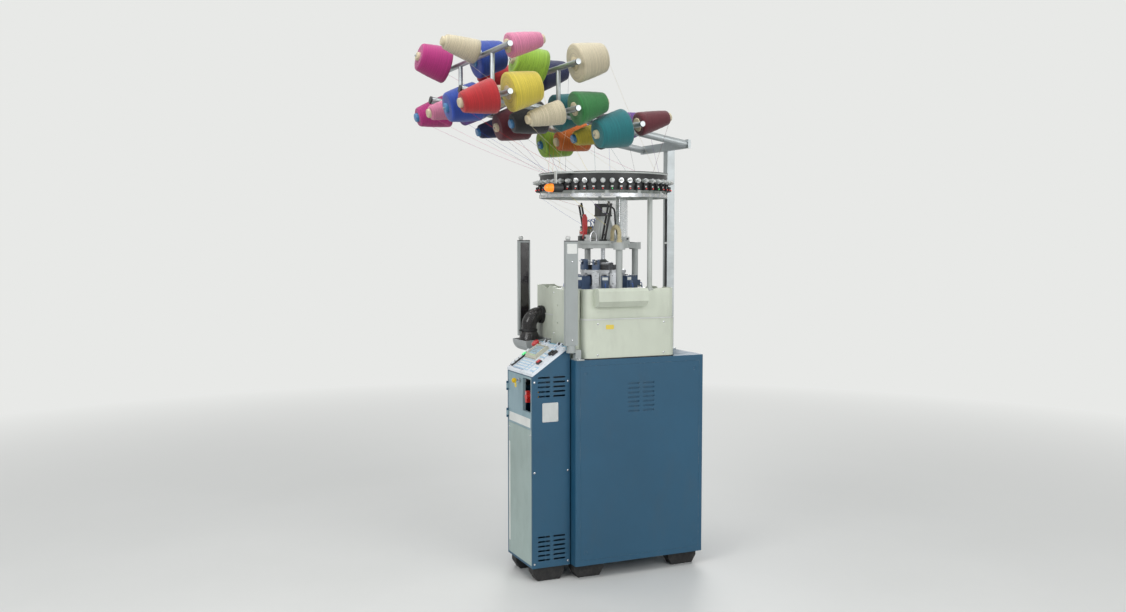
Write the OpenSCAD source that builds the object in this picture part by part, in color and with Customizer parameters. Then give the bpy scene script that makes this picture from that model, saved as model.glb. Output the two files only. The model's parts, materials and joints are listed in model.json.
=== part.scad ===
// Single-cylinder circular sock knitting machine on its own stand, with its yarn creel.
// Millimetres, +Z up, the operator stands on the -Y side and +X is the operator's right.
// The origin is on the floor, under the middle of the whole machine.

/* [Place in the frame] */
// Depth of the control cabinet's front face, in front of the middle of the machine
cab_front = 241; // [150:1:260]
// Distance from the cabinet's front face back to the knitting axis
axis_back = 470; // [440:1:500]

/* [Base] */
// Height of the rubber feet
foot_h = 65; // [50:1:90]
// Length of a rubber foot
foot_l = 150; // [110:1:170]
// Width of a rubber foot
foot_w = 56; // [40:1:70]
// Width of the pedestal
base_w = 600; // [560:1:640]
// Depth of the pedestal
base_d = 660; // [600:1:720]
// Height of the pedestal's top above the floor
base_top = 1000; // [960:1:1040]
// Seam between the cabinet and the pedestal
seam = 6; // [3:0.5:10]
// Depth of the folded edge of a pedestal panel
panel_t = 10; // [6:0.5:14]
// Radius of the suction duct's port in the rear panel
port_r = 40; // [30:1:55]

/* [Cabinet] */
// Width of the control cabinet
cab_w = 300; // [280:1:320]
// Distance from the knitting axis plane to the cabinet's left side
cab_left = 50; // [40:1:70]
// Depth of the control cabinet
cab_d = 184; // [170:1:200]
// Height of the cabinet's front edge, at the foot of the sloping panel
slope_z = 945; // [900:1:980]
// Slope of the control panel
slope_a = 34.5; // [28:0.5:40]
// Depth that the sloping panel covers
slope_run = 163; // [150:1:168]
// Thickness of the cabinet's sheet
sheet = 3; // [2:0.5:5]
// Width of the folded edge at each side of the cabinet's front
lip = 10; // [8:0.5:16]
// Thickness of the door and of the lower front panel
door_t = 14; // [10:0.5:20]
// Height of the door's lower edge
door_z = 690; // [640:1:720]
// Width of the door's cut-out for the main switch
recess_w = 93; // [80:1:100]
// Height of the door's cut-out for the main switch
recess_h = 150; // [120:1:170]
// Length of a cooling slot in the cabinet's side
slot_l = 59; // [40:1:66]
// Height of a cooling slot
slot_h = 8; // [5:0.5:10]
// Distance from one cooling slot to the next
slot_pitch = 21; // [16:0.5:28]

/* [Control panel] */
// Vertical thickness of the control panel's lid
lid_t = 14; // [10:0.5:18]
// Side of a square push-button
button_w = 19; // [14:0.5:20]
// Distance from one push-button to the next
button_pitch = 23.5; // [23:0.5:26]
// Travel of a push-button
button_travel = 2.5; // [1:0.1:3]
// Diameter of the mushroom stop button
estop_d = 40; // [32:1:46]
// Width of the display unit
display_w = 118; // [90:1:130]
// Length of the display unit, up the slope
display_l = 84; // [60:1:92]

/* [Machine body] */
// Inset of the body cover from each side of the pedestal
body_inset = 5; // [2:0.5:30]
// Depth of the body covers
body_d = 466; // [440:1:480]
// Height of the lower body cover
body_low_h = 180; // [150:1:200]
// Height of the upper body cover, up to its deck
body_up_h = 116; // [100:1:130]
// Sheet thickness of the body covers
cover_t = 4; // [2:0.5:6]
// Height of the wavy rim above the deck
rim_h = 20; // [12:1:30]
// Radius of the round machine bed
bed_r = 205; // [195:1:215]
// Thickness of the machine bed
bed_t = 18; // [12:1:24]

/* [Sock outlet] */
// Distance from the body cover's left side in to the outlet pipe
pipe_in = 99; // [90:1:115]
// Outer radius of the outlet pipe
pipe_r = 37; // [30:1:40]
// Wall of the outlet pipe
pipe_wall = 3; // [2:0.5:5]
// Bend radius of the outlet pipe's elbow
pipe_bend = 52; // [48:1:60]
// Height of the elbow's middle above the pedestal
pipe_up = 174; // [160:1:180]
// Width of the grey tray below the outlet
tray_w = 172; // [150:1:176]
// Depth of the tray
tray_d = 130; // [100:1:136]
// Height of the tray's back
tray_h = 64; // [50:1:80]

/* [Guard posts] */
// Distance from the pedestal's side in to the middle of a guard post
post_in = 20; // [10:1:24]
// Distance from the cabinet's front face back to the guard posts
post_back = 175; // [165:1:185]
// Width of a guard post
post_w = 24; // [18:1:30]
// Depth of a guard post
post_d = 60; // [50:1:70]
// Height of a guard post
post_h = 463; // [400:1:500]
// Radius of the pivot barrel below a post
barrel_r = 20; // [16:1:24]
// Height of the pivot barrel
barrel_h = 32; // [24:1:40]
// Height of the underside of the guard posts
post_z = 1067; // [1064:1:1090]
// Radius of the pivot pin
pivot_r = 6; // [4:0.5:8]

/* [Knitting head] */
// Radius of the needle cylinder, a four inch one
cyl_r = 50.8; // [44:0.1:52]
// Number of needle grooves
grooves = 84; // [48:12:96]
// Radius of the sock's way down through the cylinder
way_r = 42; // [34:0.5:44]
// Height of the needle cylinder's top above the bed
cyl_h = 112; // [104:1:124]
// Outer radius of the carrier tube that turns in the bed
carrier_r = 60; // [56:1:64]
// Outer radius of the cam box
cam_r = 110; // [104:1:118]
// Height of the cam box
cam_h = 89; // [80:1:96]
// Number of needle selection actuators
actuator_n = 8; // [6:1:10]
// Height of a selection actuator
actuator_h = 62; // [50:1:80]
// Number of yarn finger stations, on the front of the head
finger_n = 3; // [3:1:3]
// Radius of the dial plate
dial_r = 46; // [40:0.5:47]
// Radius of the dial's shaft
shaft_r = 10; // [7:0.5:12]

/* [Drive] */
// Radius of the cylinder's pulley
pulley_big_r = 95; // [80:1:105]
// Radius of the motor's pulley
pulley_small_r = 35; // [28:1:42]
// Width of the toothed belt and its pulleys
belt_w = 30; // [20:1:36]
// Distance from the knitting axis back to the motor's shaft
motor_back = 160; // [150:1:170]
// Side of the drive motor
motor_w = 110; // [90:1:116]

/* [Bridge] */
// Height of the bridge's underside above the bed
bridge_up = 191; // [184:1:200]
// Thickness of the bridge casting
bridge_t = 34; // [28:1:40]
// Radius of the bridge's middle
bridge_r = 128; // [120:1:134]
// Height of the cone casting on the bridge
cone_h = 116; // [100:1:130]
// Radius of the cone casting at its foot
cone_r = 57; // [50:1:62]
// Radius of the cone casting at its top
cone_top_r = 33; // [28:1:40]
// Side of the square dial motor
dial_motor_w = 66; // [56:1:72]
// Height of the square dial motor
dial_motor_h = 60; // [54:1:76]
// Radius of the clear shield behind the cone
shield_r = 118; // [108:1:124]

/* [Feeder ring] */
// Outer radius of the ring's apron, on which the yarn units sit
ring_r = 300; // [280:1:310]
// Height of the ring's top above the floor
ring_top = 1846; // [1820:1:1880]
// Height of the ring's apron
apron_h = 86; // [80:1:100]
// Number of yarn units round the ring
unit_n = 48; // [36:4:52]
// Radius of a yarn tensioner
tension_r = 9; // [7:0.5:10]
// Height of the flat bar's middle above the floor
bar_z = 1740; // [1735:1:1745]

/* [Creel] */
// Height of the creel's arms at the mast
creel_z = 1985; // [1960:1:2060]
// Rise of the creel's arms towards the aisle
creel_a = 10; // [6:0.5:14]
// Outer radius of the creel's arms
arm_r = 17; // [14:0.5:20]
// Distance of each arm from the middle plane
arm_x = 212; // [206:1:222]
// Outer radius of the cross rails
rail_r = 12; // [10:0.5:14]
// Length of a cross rail
rail_l = 850; // [800:1:880]
// Distance from one cross rail to the next
rail_pitch = 316; // [306:1:340]
// Distance between yarn cones along a rail
cone_pitch = 212; // [205:1:216]
// Side of the square mast
mast_w = 40; // [30:1:42]

/* [Fits] */
// Radial clearance of a pin or shaft that turns
run_gap = 0.05; // [0.02:0.01:0.1]
// Clearance between pieces that move past each other
slide_gap = 0.3; // [0.2:0.05:0.6]

/* [Hidden] */
$fn = 64;

blue = [0.17, 0.36, 0.49];
grey_green = [0.60, 0.70, 0.70];
cream = [0.80, 0.82, 0.74];
grey = [0.56, 0.58, 0.58];
cast_grey = [0.52, 0.54, 0.54];
steel = [0.72, 0.74, 0.75];
black = [0.10, 0.10, 0.11];
over = 1;

// Depth places, from the front of the machine to its back
cab_y = -cab_front;
cab_back = cab_y + cab_d;
base_y = cab_back + seam;
body_w = base_w - 2 * body_inset;
pipe_x = body_w / 2 - pipe_in;
post_x = base_w / 2 - post_in;
base_back = base_y + base_d;
axis_y = cab_y + axis_back;
body_y = axis_y - body_d / 2;

// Side places
cab_x0 = -cab_left;
cab_x1 = cab_x0 + cab_w;

// Heights
lid_back_z = slope_z + slope_run * tan(slope_a);
door_top = slope_z - lid_t - 4;
deck_z = base_top + body_low_h + body_up_h;
bed_z = deck_z + 10;
bridge_z = bed_z + bridge_up;
bridge_top = bridge_z + bridge_t;
cone_top = bridge_top + cone_h;
cam_top = bed_z + cam_h;
cyl_top = bed_z + cyl_h;

// A flat outline with round corners, made of rectangles and circles
module round_rect(w, d, r) {
  square([w - 2 * r, d], center = true);
  square([w, d - 2 * r], center = true);
  for (sx = [-1, 1], sy = [-1, 1])
    translate([sx * (w / 2 - r), sy * (d / 2 - r)]) circle(r);
}

// A slot with round ends along the first axis
module slot2d(l, h) {
  square([l - h, h], center = true);
  for (s = [-1, 1]) translate([s * (l - h) / 2, 0]) circle(h / 2, $fn = 24);
}

// Turns an outline drawn in depth and height into a solid from x0 to x1
module side_profile(x0, x1) {
  translate([x0, 0, 0]) rotate([90, 0, 90]) linear_extrude(x1 - x0) children();
}

// Places its children at an angle round the knitting axis, with local x pointing outwards
module round_axis(a) {
  translate([0, axis_y, 0]) rotate([0, 0, a]) children();
}

// Places its children on the slope: local x across, local y up the slope, local z out of it
module on_slope(above = 0) {
  translate([0, cab_y, slope_z]) rotate([slope_a, 0, 0]) translate([0, 0, above]) children();
}

// Rubber feet: tapered blocks with grooved soles, four below the pedestal and two below the cabinet
foot_places = [
  [-base_w / 2 + 70, base_y + foot_l / 2 + 10], [base_w / 2 - 70, base_y + foot_l / 2 + 10],
  [-base_w / 2 + 70, base_back - foot_l / 2 - 10], [base_w / 2 - 70, base_back - foot_l / 2 - 10],
  [cab_x0 + 45, cab_y + foot_l / 2 + 12], [cab_x1 - 45, cab_y + foot_l / 2 + 12]
];
foot_taper = 22;
foot_groove = 4;
module foot_pads() {
  color(black) for (p = foot_places) translate([p[0], p[1], 0]) difference() {
    side_profile(-foot_w / 2, foot_w / 2)
      polygon([
        [-foot_l / 2 + foot_taper, 0], [foot_l / 2 - foot_taper, 0], [foot_l / 2, foot_h * 0.55],
        [foot_l / 2, foot_h], [-foot_l / 2, foot_h], [-foot_l / 2, foot_h * 0.55]
      ]);
    for (s = [-2 : 2])
      translate([-foot_w / 2 - over, s * 20 - foot_groove / 2, -over])
        cube([foot_w + 2 * over, foot_groove, foot_groove + over]);
  }
}

// Pedestal: welded box with pockets for its side and rear panels and a spacer towards the cabinet
edge = 22;
pocket_z0 = foot_h + 24;
pocket_z1 = base_top - 26;
pocket_h = pocket_z1 - pocket_z0;
module base_frame() {
  color(blue) {
    difference() {
      translate([0, base_y + base_d / 2, foot_h])
        linear_extrude(base_top - foot_h) round_rect(base_w, base_d, 9);
      for (s = [-1, 1])
        translate([s * (base_w / 2 - panel_t / 2 + over / 2), base_y + base_d / 2, pocket_z0 + pocket_h / 2])
          cube([panel_t + over, base_d - 2 * edge, pocket_h], center = true);
      translate([-base_w / 2 + edge, base_back - panel_t, pocket_z0])
        cube([base_w - 2 * edge, panel_t + over, pocket_h]);
      translate([0, base_back - port_depth, port_z]) rotate([-90, 0, 0]) cylinder(h = port_depth, r = port_r);
    }
    translate([cab_x0 + edge, base_y - seam, foot_h + edge])
      cube([cab_w - 2 * edge, seam + over, slope_z - foot_h - 2 * edge]);
  }
}

// Removable panels of the pedestal, with cooling slots and quarter-turn locks
port_z = 300;
port_depth = 60;
fit = 0.5;
module panel_face(w, h) {
  difference() {
    translate([0, 0, panel_t / 2]) cube([w, h, panel_t], center = true);
    for (row = [0 : 6], col = [-1, 1])
      translate([col * (slot_l / 2 + 9), h / 2 - 90 - row * slot_pitch, panel_t - 4])
        linear_extrude(4 + over) slot2d(slot_l, slot_h);
    for (sx = [-1, 1], sy = [-1, 1])
      translate([sx * (w / 2 - 28), sy * (h / 2 - 34), panel_t - 3]) cylinder(h = 3 + over, r = 9);
  }
  for (sx = [-1, 1], sy = [-1, 1])
    translate([sx * (w / 2 - 28), sy * (h / 2 - 34), panel_t - 3]) difference() {
      cylinder(h = 2, r = 9);
      translate([0, 0, 2]) cube([12, 2, 2], center = true);
    }
}
module base_panels() {
  side_w = base_d - 2 * edge - 2 * fit;
  rear_w = base_w - 2 * edge - 2 * fit;
  h = pocket_h - 2 * fit;
  mid_z = pocket_z0 + pocket_h / 2;
  color(blue) {
    for (s = [-1, 1])
      translate([s * (base_w / 2 - panel_t), base_y + base_d / 2, mid_z]) rotate([90, 0, s * 90])
        panel_face(side_w, h);
    difference() {
      translate([0, base_back - panel_t, mid_z]) rotate([90, 0, 180]) panel_face(rear_w, h);
      translate([0, base_back - panel_t - over, port_z]) rotate([-90, 0, 0])
        cylinder(h = panel_t + 2 * over, r = port_r);
    }
  }
}

// Cabinet: folded sheet housing, open at the front and under the sloping lid
stop_w = 8;
module cabinet_outline(inset) {
  polygon([
    [cab_y, foot_h + inset], [cab_back - inset, foot_h + inset],
    [cab_back - inset, lid_back_z - 4 - inset], [cab_y + slope_run + fit, lid_back_z - 4 - inset],
    [cab_y + slope_run + fit, lid_back_z - lid_t - fit], [cab_y, slope_z - lid_t - fit]
  ]);
}
louvre_x = [27, 27 + slot_l + 16];
module side_louvres(top_z, rows) {
  for (row = [0 : rows - 1], x = louvre_x)
    translate([0, cab_y + x + slot_l / 2, top_z - row * slot_pitch])
      rotate([90, 0, 90]) linear_extrude(cab_w * 3, center = true) slot2d(slot_l, slot_h);
}
module cabinet_body() {
  color(blue) {
    difference() {
      side_profile(cab_x0, cab_x1) cabinet_outline(0);
      side_profile(cab_x0 + sheet, cab_x1 - sheet)
        polygon([
          [cab_y + sheet, foot_h + sheet], [cab_back - sheet, foot_h + sheet],
          [cab_back - sheet, lid_back_z - 4 - sheet], [cab_y + slope_run - 14, lid_back_z - 4 - sheet],
          [cab_y + slope_run - 14, lid_back_z], [cab_y + sheet, slope_z]
        ]);
      translate([cab_x0 + lip, cab_y - over, foot_h + lip])
        cube([cab_w - 2 * lip, sheet + 2 * over, door_top - foot_h - lip]);
      side_louvres(slope_z - 20, 5);
      side_louvres(foot_h + 140, 6);
    }
    for (z = hinge_z, up = [0, 1]) translate([hinge_x, hinge_y, z + (up ? knuckle_h + slide_gap : -slide_gap - 10)]) {
      cylinder(h = 10, r = knuckle_r);
      translate([-3, 0, 0]) cube([5, 5, 10]);
    }
    for (z = hinge_z) translate([hinge_x, hinge_y, z - 5]) cylinder(h = knuckle_h + 10, r = 2);
    translate([cab_x0 + lip + stop_w, cab_y + door_t + slide_gap, door_top - 8])
      cube([cab_w - 2 * lip - 2 * stop_w, sheet, 10]);
    translate([cab_x0 + sheet, cab_y + sheet, door_top + 2])
      cube([cab_w - 2 * sheet, door_t + slide_gap, 1.5]);
    for (x = [cab_x0 + sheet, cab_x1 - lip - stop_w])
      translate([x, cab_y + door_t + slide_gap, foot_h + sheet])
        cube([lip + stop_w - sheet, sheet, door_top - foot_h - sheet]);
    translate([cab_x0 + lip + stop_w, cab_y + door_t + slide_gap, door_z - 12])
      cube([cab_w - 2 * lip - 2 * stop_w, sheet, 24]);
  }
}

// Lower front panel, screwed to the cabinet's stop strips
front_w = cab_w - 2 * lip - 2 * fit;
module lower_front_panel() {
  h = door_z - foot_h - lip - 2 * fit;
  color(grey_green) difference() {
    translate([cab_x0 + lip + fit, cab_y, foot_h + lip + fit]) cube([front_w, door_t + slide_gap, h]);
    translate([cab_x0 + lip + fit + 6, cab_y + 2, foot_h + lip + fit + 6]) cube([front_w - 12, door_t, h - 12]);
    for (sx = [0, 1], sz = [0, 1])
      translate([cab_x0 + lip + 12 + sx * (front_w - 24), cab_y - over, foot_h + lip + 24 + sz * (h - 48)])
        rotate([-90, 0, 0]) cylinder(h = 2 + over, r = 3);
  }
}

// Door: a folded tray with the cut-out in front of the main switch, hung on two knuckles
hinge_x = cab_x0 + lip - 3;
hinge_y = cab_y - 5;
knuckle_r = 4.6;
knuckle_h = 22;
hinge_z = [door_z + 30, door_top - 80];
recess_x = cab_x1 - lip - 8 - recess_w;
recess_z = door_top - 10 - recess_h;
lock_x = recess_x - 34;
lock_z = door_top - 26;
lock_r = 10;
cam_gap = door_t + sheet + 2 * slide_gap;
module cabinet_door() {
  h = door_top - door_z - 2 * fit;
  color(grey_green) {
    difference() {
      translate([cab_x0 + lip + fit, cab_y, door_z + fit]) cube([front_w, door_t, h]);
      translate([cab_x0 + lip + fit + 6, cab_y + 2, door_z + fit + 6])
        cube([recess_x - cab_x0 - lip - fit - 12, door_t, h - 12]);
      translate([recess_x, cab_y - over, recess_z]) cube([recess_w, door_t + 2 * over, recess_h]);
      translate([lock_x, cab_y - over, lock_z])
        rotate([-90, 0, 0]) cylinder(h = 2 + 2 * over, r = lock_r - 2 + run_gap);
    }
    for (z = hinge_z) {
      difference() {
        translate([hinge_x, hinge_y, z]) cylinder(h = knuckle_h, r = knuckle_r);
        translate([hinge_x, hinge_y, z - over]) cylinder(h = knuckle_h + 2 * over, r = 2 + run_gap);
      }
      translate([hinge_x + 3, hinge_y - 1.2, z]) cube([8, 6.2, knuckle_h]);
    }
  }
}

// Quarter-turn key lock: barrel in front of the door, neck through it and a cam behind it
module door_lock() {
  color(steel) difference() {
    union() {
      translate([lock_x, cab_y - 6, lock_z]) rotate([-90, 0, 0]) cylinder(h = 6 - slide_gap, r = lock_r);
      translate([lock_x, cab_y - 1, lock_z]) rotate([-90, 0, 0]) cylinder(h = cam_gap + 1, r = lock_r - 2);
      translate([lock_x - 6, cab_y + cam_gap, lock_z - 6]) cube([30, 3, 12]);
    }
    translate([lock_x - 1, cab_y - 7, lock_z - 5]) cube([2, 5, 10]);
  }
}

// Chassis plate behind the door, with the switch recess, its units and two rows of terminals.
// A unit is [distance from the plate's left edge, distance from its lower edge, width, depth, height]
plate_y = cab_y + 64;
switch_d = 20;
switch_x = recess_x + recess_w * 0.55;
switch_z = recess_z + recess_h * 0.46;
switch_r = 7;
plate_units = [[18, door_z - foot_h + 28, 110, 26, 150], [18, 353, 150, 22, 190], [190, 313, 60, 16, 260]];
module chassis_plate() {
  x0 = cab_x0 + sheet;
  z0 = foot_h + sheet;
  color(blue) {
    difference() {
      union() {
        translate([x0, plate_y, z0]) cube([cab_w - 2 * sheet, sheet, door_top - z0 - 8]);
        translate([switch_x - 28, plate_y - switch_d, switch_z - 34]) cube([56, switch_d + 1, 68]);
      }
      translate([switch_x, plate_y - switch_d - over, switch_z])
        rotate([-90, 0, 0]) cylinder(h = switch_d + over - 2, r = switch_r + run_gap);
    }
    for (u = plate_units) translate([x0 + u[0], plate_y - u[3], z0 + u[1]]) cube([u[2], u[3], u[4]]);
    for (k = [0 : 8]) translate([x0 + 24 + k * 11, plate_y - 32, door_z + 36]) cube([5, 6, 138]);
    for (k = [0 : 11]) translate([x0 + 20 + k * 20, plate_y - 20, z0 + 233]) cube([16, 20, 50]);
  }
}

// Main switch: a red turning handle on a round skirt, its spindle in the chassis plate
module main_switch_knob() {
  color([0.75, 0.12, 0.12]) translate([switch_x, plate_y - switch_d, switch_z]) rotate([90, 0, 0]) {
    translate([0, 0, -12]) cylinder(h = 14, r = switch_r);
    translate([0, 0, slide_gap]) cylinder(h = 12, r = 24);
    translate([0, 0, 12]) cylinder(h = 20, r1 = 20, r2 = 15);
    translate([0, 0, 32]) linear_extrude(18) {
      slot2d(30, 17);
      translate([-8, -26]) square([16, 52]);
    }
  }
}

// Control panel: sloping lid with a front rail, hinge arms at its back and a hole for each button
button_x = cab_x0 + 26;
button_u0 = 24;
estop_u = 168;
stop_x = cab_x1 - 58;
stop_u = 72;
stem_r = 6;
lid_hinge_y = cab_y + slope_run + 8;
lid_hinge_z = lid_back_z + 8;
lid_hinge_r = 6;
lid_pin_r = 2.5;
hinge_w = 26;
hinge_xs = [cab_x0 + 74, cab_x1 - 78];
function button_u(k) = button_u0 + k * button_pitch;
module control_panel() {
  color([0.90, 0.92, 0.94]) {
    difference() {
      side_profile(cab_x0 - 1, cab_x1 + 1) polygon([
        [cab_y - 2, slope_z - 2], [cab_y - 2, slope_z - 12], [cab_y, slope_z - 12],
        [cab_y, slope_z - lid_t], [cab_y + slope_run, lid_back_z - lid_t],
        [cab_y + slope_run, lid_back_z], [cab_y, slope_z]
      ]);
      on_slope() {
        translate([button_x, estop_u, -lid_t - 4]) cylinder(h = lid_t + 8, r = stem_r + 2 + slide_gap);
        translate([stop_x, stop_u, -lid_t - 4]) cylinder(h = lid_t + 8, r = stem_r + slide_gap);
      }
    }
    for (x = hinge_xs, s = [-1, 1]) translate([x + s * (hinge_w / 2 + 5), 0, 0]) difference() {
      union() {
        translate([-4.5, lid_hinge_y, lid_hinge_z]) rotate([0, 90, 0]) cylinder(h = 9, r = lid_hinge_r);
        side_profile(-4.5, 4.5) polygon([
          [lid_hinge_y, lid_hinge_z - 5.5], [lid_hinge_y, lid_hinge_z + 5.5],
          [lid_hinge_y - 30, lid_back_z - 12], [cab_y + slope_run - 12, lid_back_z - 12],
          [cab_y + slope_run, lid_back_z - 1]
        ]);
      }
      translate([-5, lid_hinge_y, lid_hinge_z]) rotate([0, 90, 0]) cylinder(h = 10, r = lid_pin_r + run_gap);
    }
  }
}

// Hinge blocks on the cabinet's back edge, with the pins on which the lid turns
module panel_hinges() {
  foot_z = lid_back_z - 4;
  color(black) for (x = hinge_xs) {
    translate([x - hinge_w / 2, lid_hinge_y, lid_hinge_z]) rotate([0, 90, 0])
      cylinder(h = hinge_w, r = lid_hinge_r);
    translate([x - hinge_w / 2, lid_hinge_y - 4, foot_z])
      cube([hinge_w, cab_back - lid_hinge_y + 2, lid_hinge_z - foot_z]);
    translate([x - hinge_w / 2 - 11, lid_hinge_y, lid_hinge_z])
      rotate([0, 90, 0]) cylinder(h = hinge_w + 22, r = lid_pin_r);
  }
}

// Display unit: a raised housing with a window recess and a lower front step.
// A film of glue lies between the lid and what is stuck on it.
display_x = cab_x0 + 54;
display_back = 30;
display_u = slope_run / cos(slope_a) - display_l - display_back;
display_h = 14;
film = 0.05;
module display_unit() {
  color([0.86, 0.86, 0.80]) on_slope(film) translate([display_x, display_u, 0]) difference() {
    side_profile(0, display_w)
      polygon([[0, 0], [display_l, 0], [display_l, display_h], [10, display_h], [0, 6]]);
    translate([12, 20, display_h - 3]) cube([display_w - 24, display_l - 30, 4]);
    for (k = [0 : 3]) translate([16 + k * 24, 11.5, display_h - 1]) cube([14, 5, 2]);
  }
}

// Emergency stop: yellow collar on the lid and a sprung mushroom head on its stem
collar_h = 6;
estop_gap = 5;
module emergency_stop_collar() {
  color([0.93, 0.78, 0.16]) on_slope(film) translate([button_x, estop_u, 0]) difference() {
    cylinder(h = collar_h, r1 = estop_d / 2 - 3, r2 = estop_d / 2 - 5);
    translate([0, 0, -over]) cylinder(h = collar_h + 2 * over, r = stem_r + 2 + slide_gap);
  }
}
module emergency_stop() {
  color([0.80, 0.13, 0.12]) on_slope() translate([button_x, estop_u, 0]) {
    translate([0, 0, -10]) cylinder(h = 10 + collar_h + estop_gap + 1, r = stem_r + 2);
    translate([0, 0, collar_h + estop_gap]) rotate_extrude()
      polygon([
        [0, 0], [estop_d / 2 - 2, 0], [estop_d / 2, 3], [estop_d / 2, 7], [estop_d / 2 - 3, 12],
        [estop_d / 2 - 9, 15], [0, 16]
      ]);
  }
}

// Square push-buttons in their black bezel strip
bezel_h = 8;
cap_z = button_travel + 0.7;
module push_button(k) {
  on_slope() translate([button_x, button_u(k), cap_z]) {
    translate([-button_w / 2, -button_w / 2, 0]) cube([button_w, button_w, 8]);
    translate([0, 0, 8]) linear_extrude(2) round_rect(button_w - 3, button_w - 3, 2);
  }
}
module program_button_1() { color("white") push_button(0); }
module program_button_2() { color("white") push_button(1); }
module program_button_3() { color("white") push_button(2); }
module program_button_4() { color([0.45, 0.9, 0.6]) push_button(3); }
module program_button_5() { color("white") push_button(4); }

// Round-cornered red stop button at the right of the panel, with its stem in the lid
module stop_button() {
  color([0.80, 0.13, 0.12]) on_slope() translate([stop_x, stop_u, 0]) {
    translate([0, 0, -8]) cylinder(h = 14, r = stem_r);
    translate([0, 0, 5]) linear_extrude(8) round_rect(button_w, button_w, 4);
  }
}

// Black parts on the lid: the bezel strip, the stop button's bezel and two covered sockets
module panel_bezels() {
  hole = button_w + 2 * slide_gap;
  strip_w = button_w + 3;
  strip_l = 4 * button_pitch + button_w + 3;
  color(black) on_slope(film) {
    difference() {
      translate([button_x - strip_w / 2, button_u0 - strip_w / 2, 0]) cube([strip_w, strip_l, bezel_h]);
      for (k = [0 : 4]) translate([button_x - hole / 2, button_u(k) - hole / 2, -over])
        cube([hole, hole, bezel_h + 2 * over]);
    }
    translate([stop_x, stop_u, 0]) difference() {
      linear_extrude(bezel_h) round_rect(button_w + 7, button_w + 7, 3);
      translate([0, 0, -over]) linear_extrude(bezel_h + 2 * over) square(hole, center = true);
    }
    for (k = [0, 1]) translate([cab_x1 - 50 + k * 26, estop_u - 26 + k * 4, 0]) difference() {
      linear_extrude(10) round_rect(20, 30, 3);
      translate([-6, -10, 6]) cube([12, 20, 5]);
    }
  }
}

// Lower body cover: a round-cornered shell on the pedestal, with its panel seams
body_r = 36;
seam_w = 3;
module body_lower_cover() {
  color(cream) difference() {
    translate([0, axis_y, base_top]) linear_extrude(body_low_h) difference() {
      round_rect(body_w, body_d, body_r);
      round_rect(body_w - 2 * cover_t, body_d - 2 * cover_t, body_r - cover_t);
    }
    for (x = [-body_w / 4, body_w / 4], s = [-1, 1])
      translate([x - seam_w / 2, axis_y + s * body_d / 2 - 1, base_top - over])
        cube([seam_w, 2, body_low_h + 2 * over]);
    translate([-pipe_x, body_y - over, base_top + pipe_up]) rotate([-90, 0, 0])
      cylinder(h = cover_t + 2 * over, r = pipe_r - 6);
  }
}

// Upper body cover: tub with a deck round the machine bed and a stepped, wavy rim
rim_t = 5;
wave_r = 46;
module body_upper_cover() {
  z0 = base_top + body_low_h;
  color(cream) difference() {
    union() {
      translate([0, axis_y, z0]) linear_extrude(body_up_h) round_rect(body_w - 8, body_d - 8, body_r - 4);
      translate([0, axis_y, deck_z]) linear_extrude(rim_h) difference() {
        round_rect(body_w - 8, body_d - 8, body_r - 4);
        round_rect(body_w - 8 - 2 * rim_t, body_d - 8 - 2 * rim_t, body_r - 4 - rim_t);
      }
    }
    translate([0, axis_y, z0 - over]) linear_extrude(body_up_h - cover_t + over)
      round_rect(body_w - 8 - 2 * cover_t, body_d - 8 - 2 * cover_t, body_r - 4 - cover_t);
    translate([0, axis_y, deck_z - cover_t - over]) cylinder(h = cover_t + 2 * over, r = bed_r + fit);
    for (x = [-150, 0, 150])
      translate([x, axis_y, deck_z + rim_h + wave_r * 0.72]) rotate([90, 0, 0])
        cylinder(h = body_d * 2, r = wave_r, center = true);
    for (y = [-95, 95])
      translate([0, axis_y + y, deck_z + rim_h + wave_r * 0.72]) rotate([0, 90, 0])
        cylinder(h = body_w * 2, r = wave_r, center = true);
    translate([-pipe_x, body_y - over, base_top + pipe_up]) rotate([-90, 0, 0])
      cylinder(h = 20, r = pipe_r + 4);
  }
}

// Tall box on the front of the body, behind the cabinet, with two small holes and a seam
box_d = 24;
box_x0 = -14;
box_x1 = 246;
module front_box_cover() {
  h = deck_z + rim_h - base_top - 6;
  color(cream) difference() {
    translate([(box_x0 + box_x1) / 2, body_y - box_d / 2, base_top])
      linear_extrude(h) round_rect(box_x1 - box_x0, box_d, 6);
    for (z = [150, 230]) translate([box_x0 + 60, body_y - box_d - over, base_top + z])
      rotate([-90, 0, 0]) cylinder(h = 8, r = 4);
    translate([box_x0 + 120, body_y - box_d - over, base_top - over]) cube([seam_w, 2 + over, h + 2 * over]);
  }
}

// Bevelled box that overhangs the body on the operator's right
side_box_d = 50;
side_box_l = 250;
side_box_h = 84;
module side_cover() {
  color(cream) translate([0, axis_y + side_box_l / 2 - 60, 0]) rotate([90, 0, 0])
    linear_extrude(side_box_l) translate([body_w / 2 - 4, deck_z - side_box_h + 24])
      polygon([
        [0, 0], [side_box_d * 0.5, 0], [side_box_d, 26], [side_box_d, side_box_h - 14],
        [side_box_d - 14, side_box_h], [0, side_box_h]
      ]);
}

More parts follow.
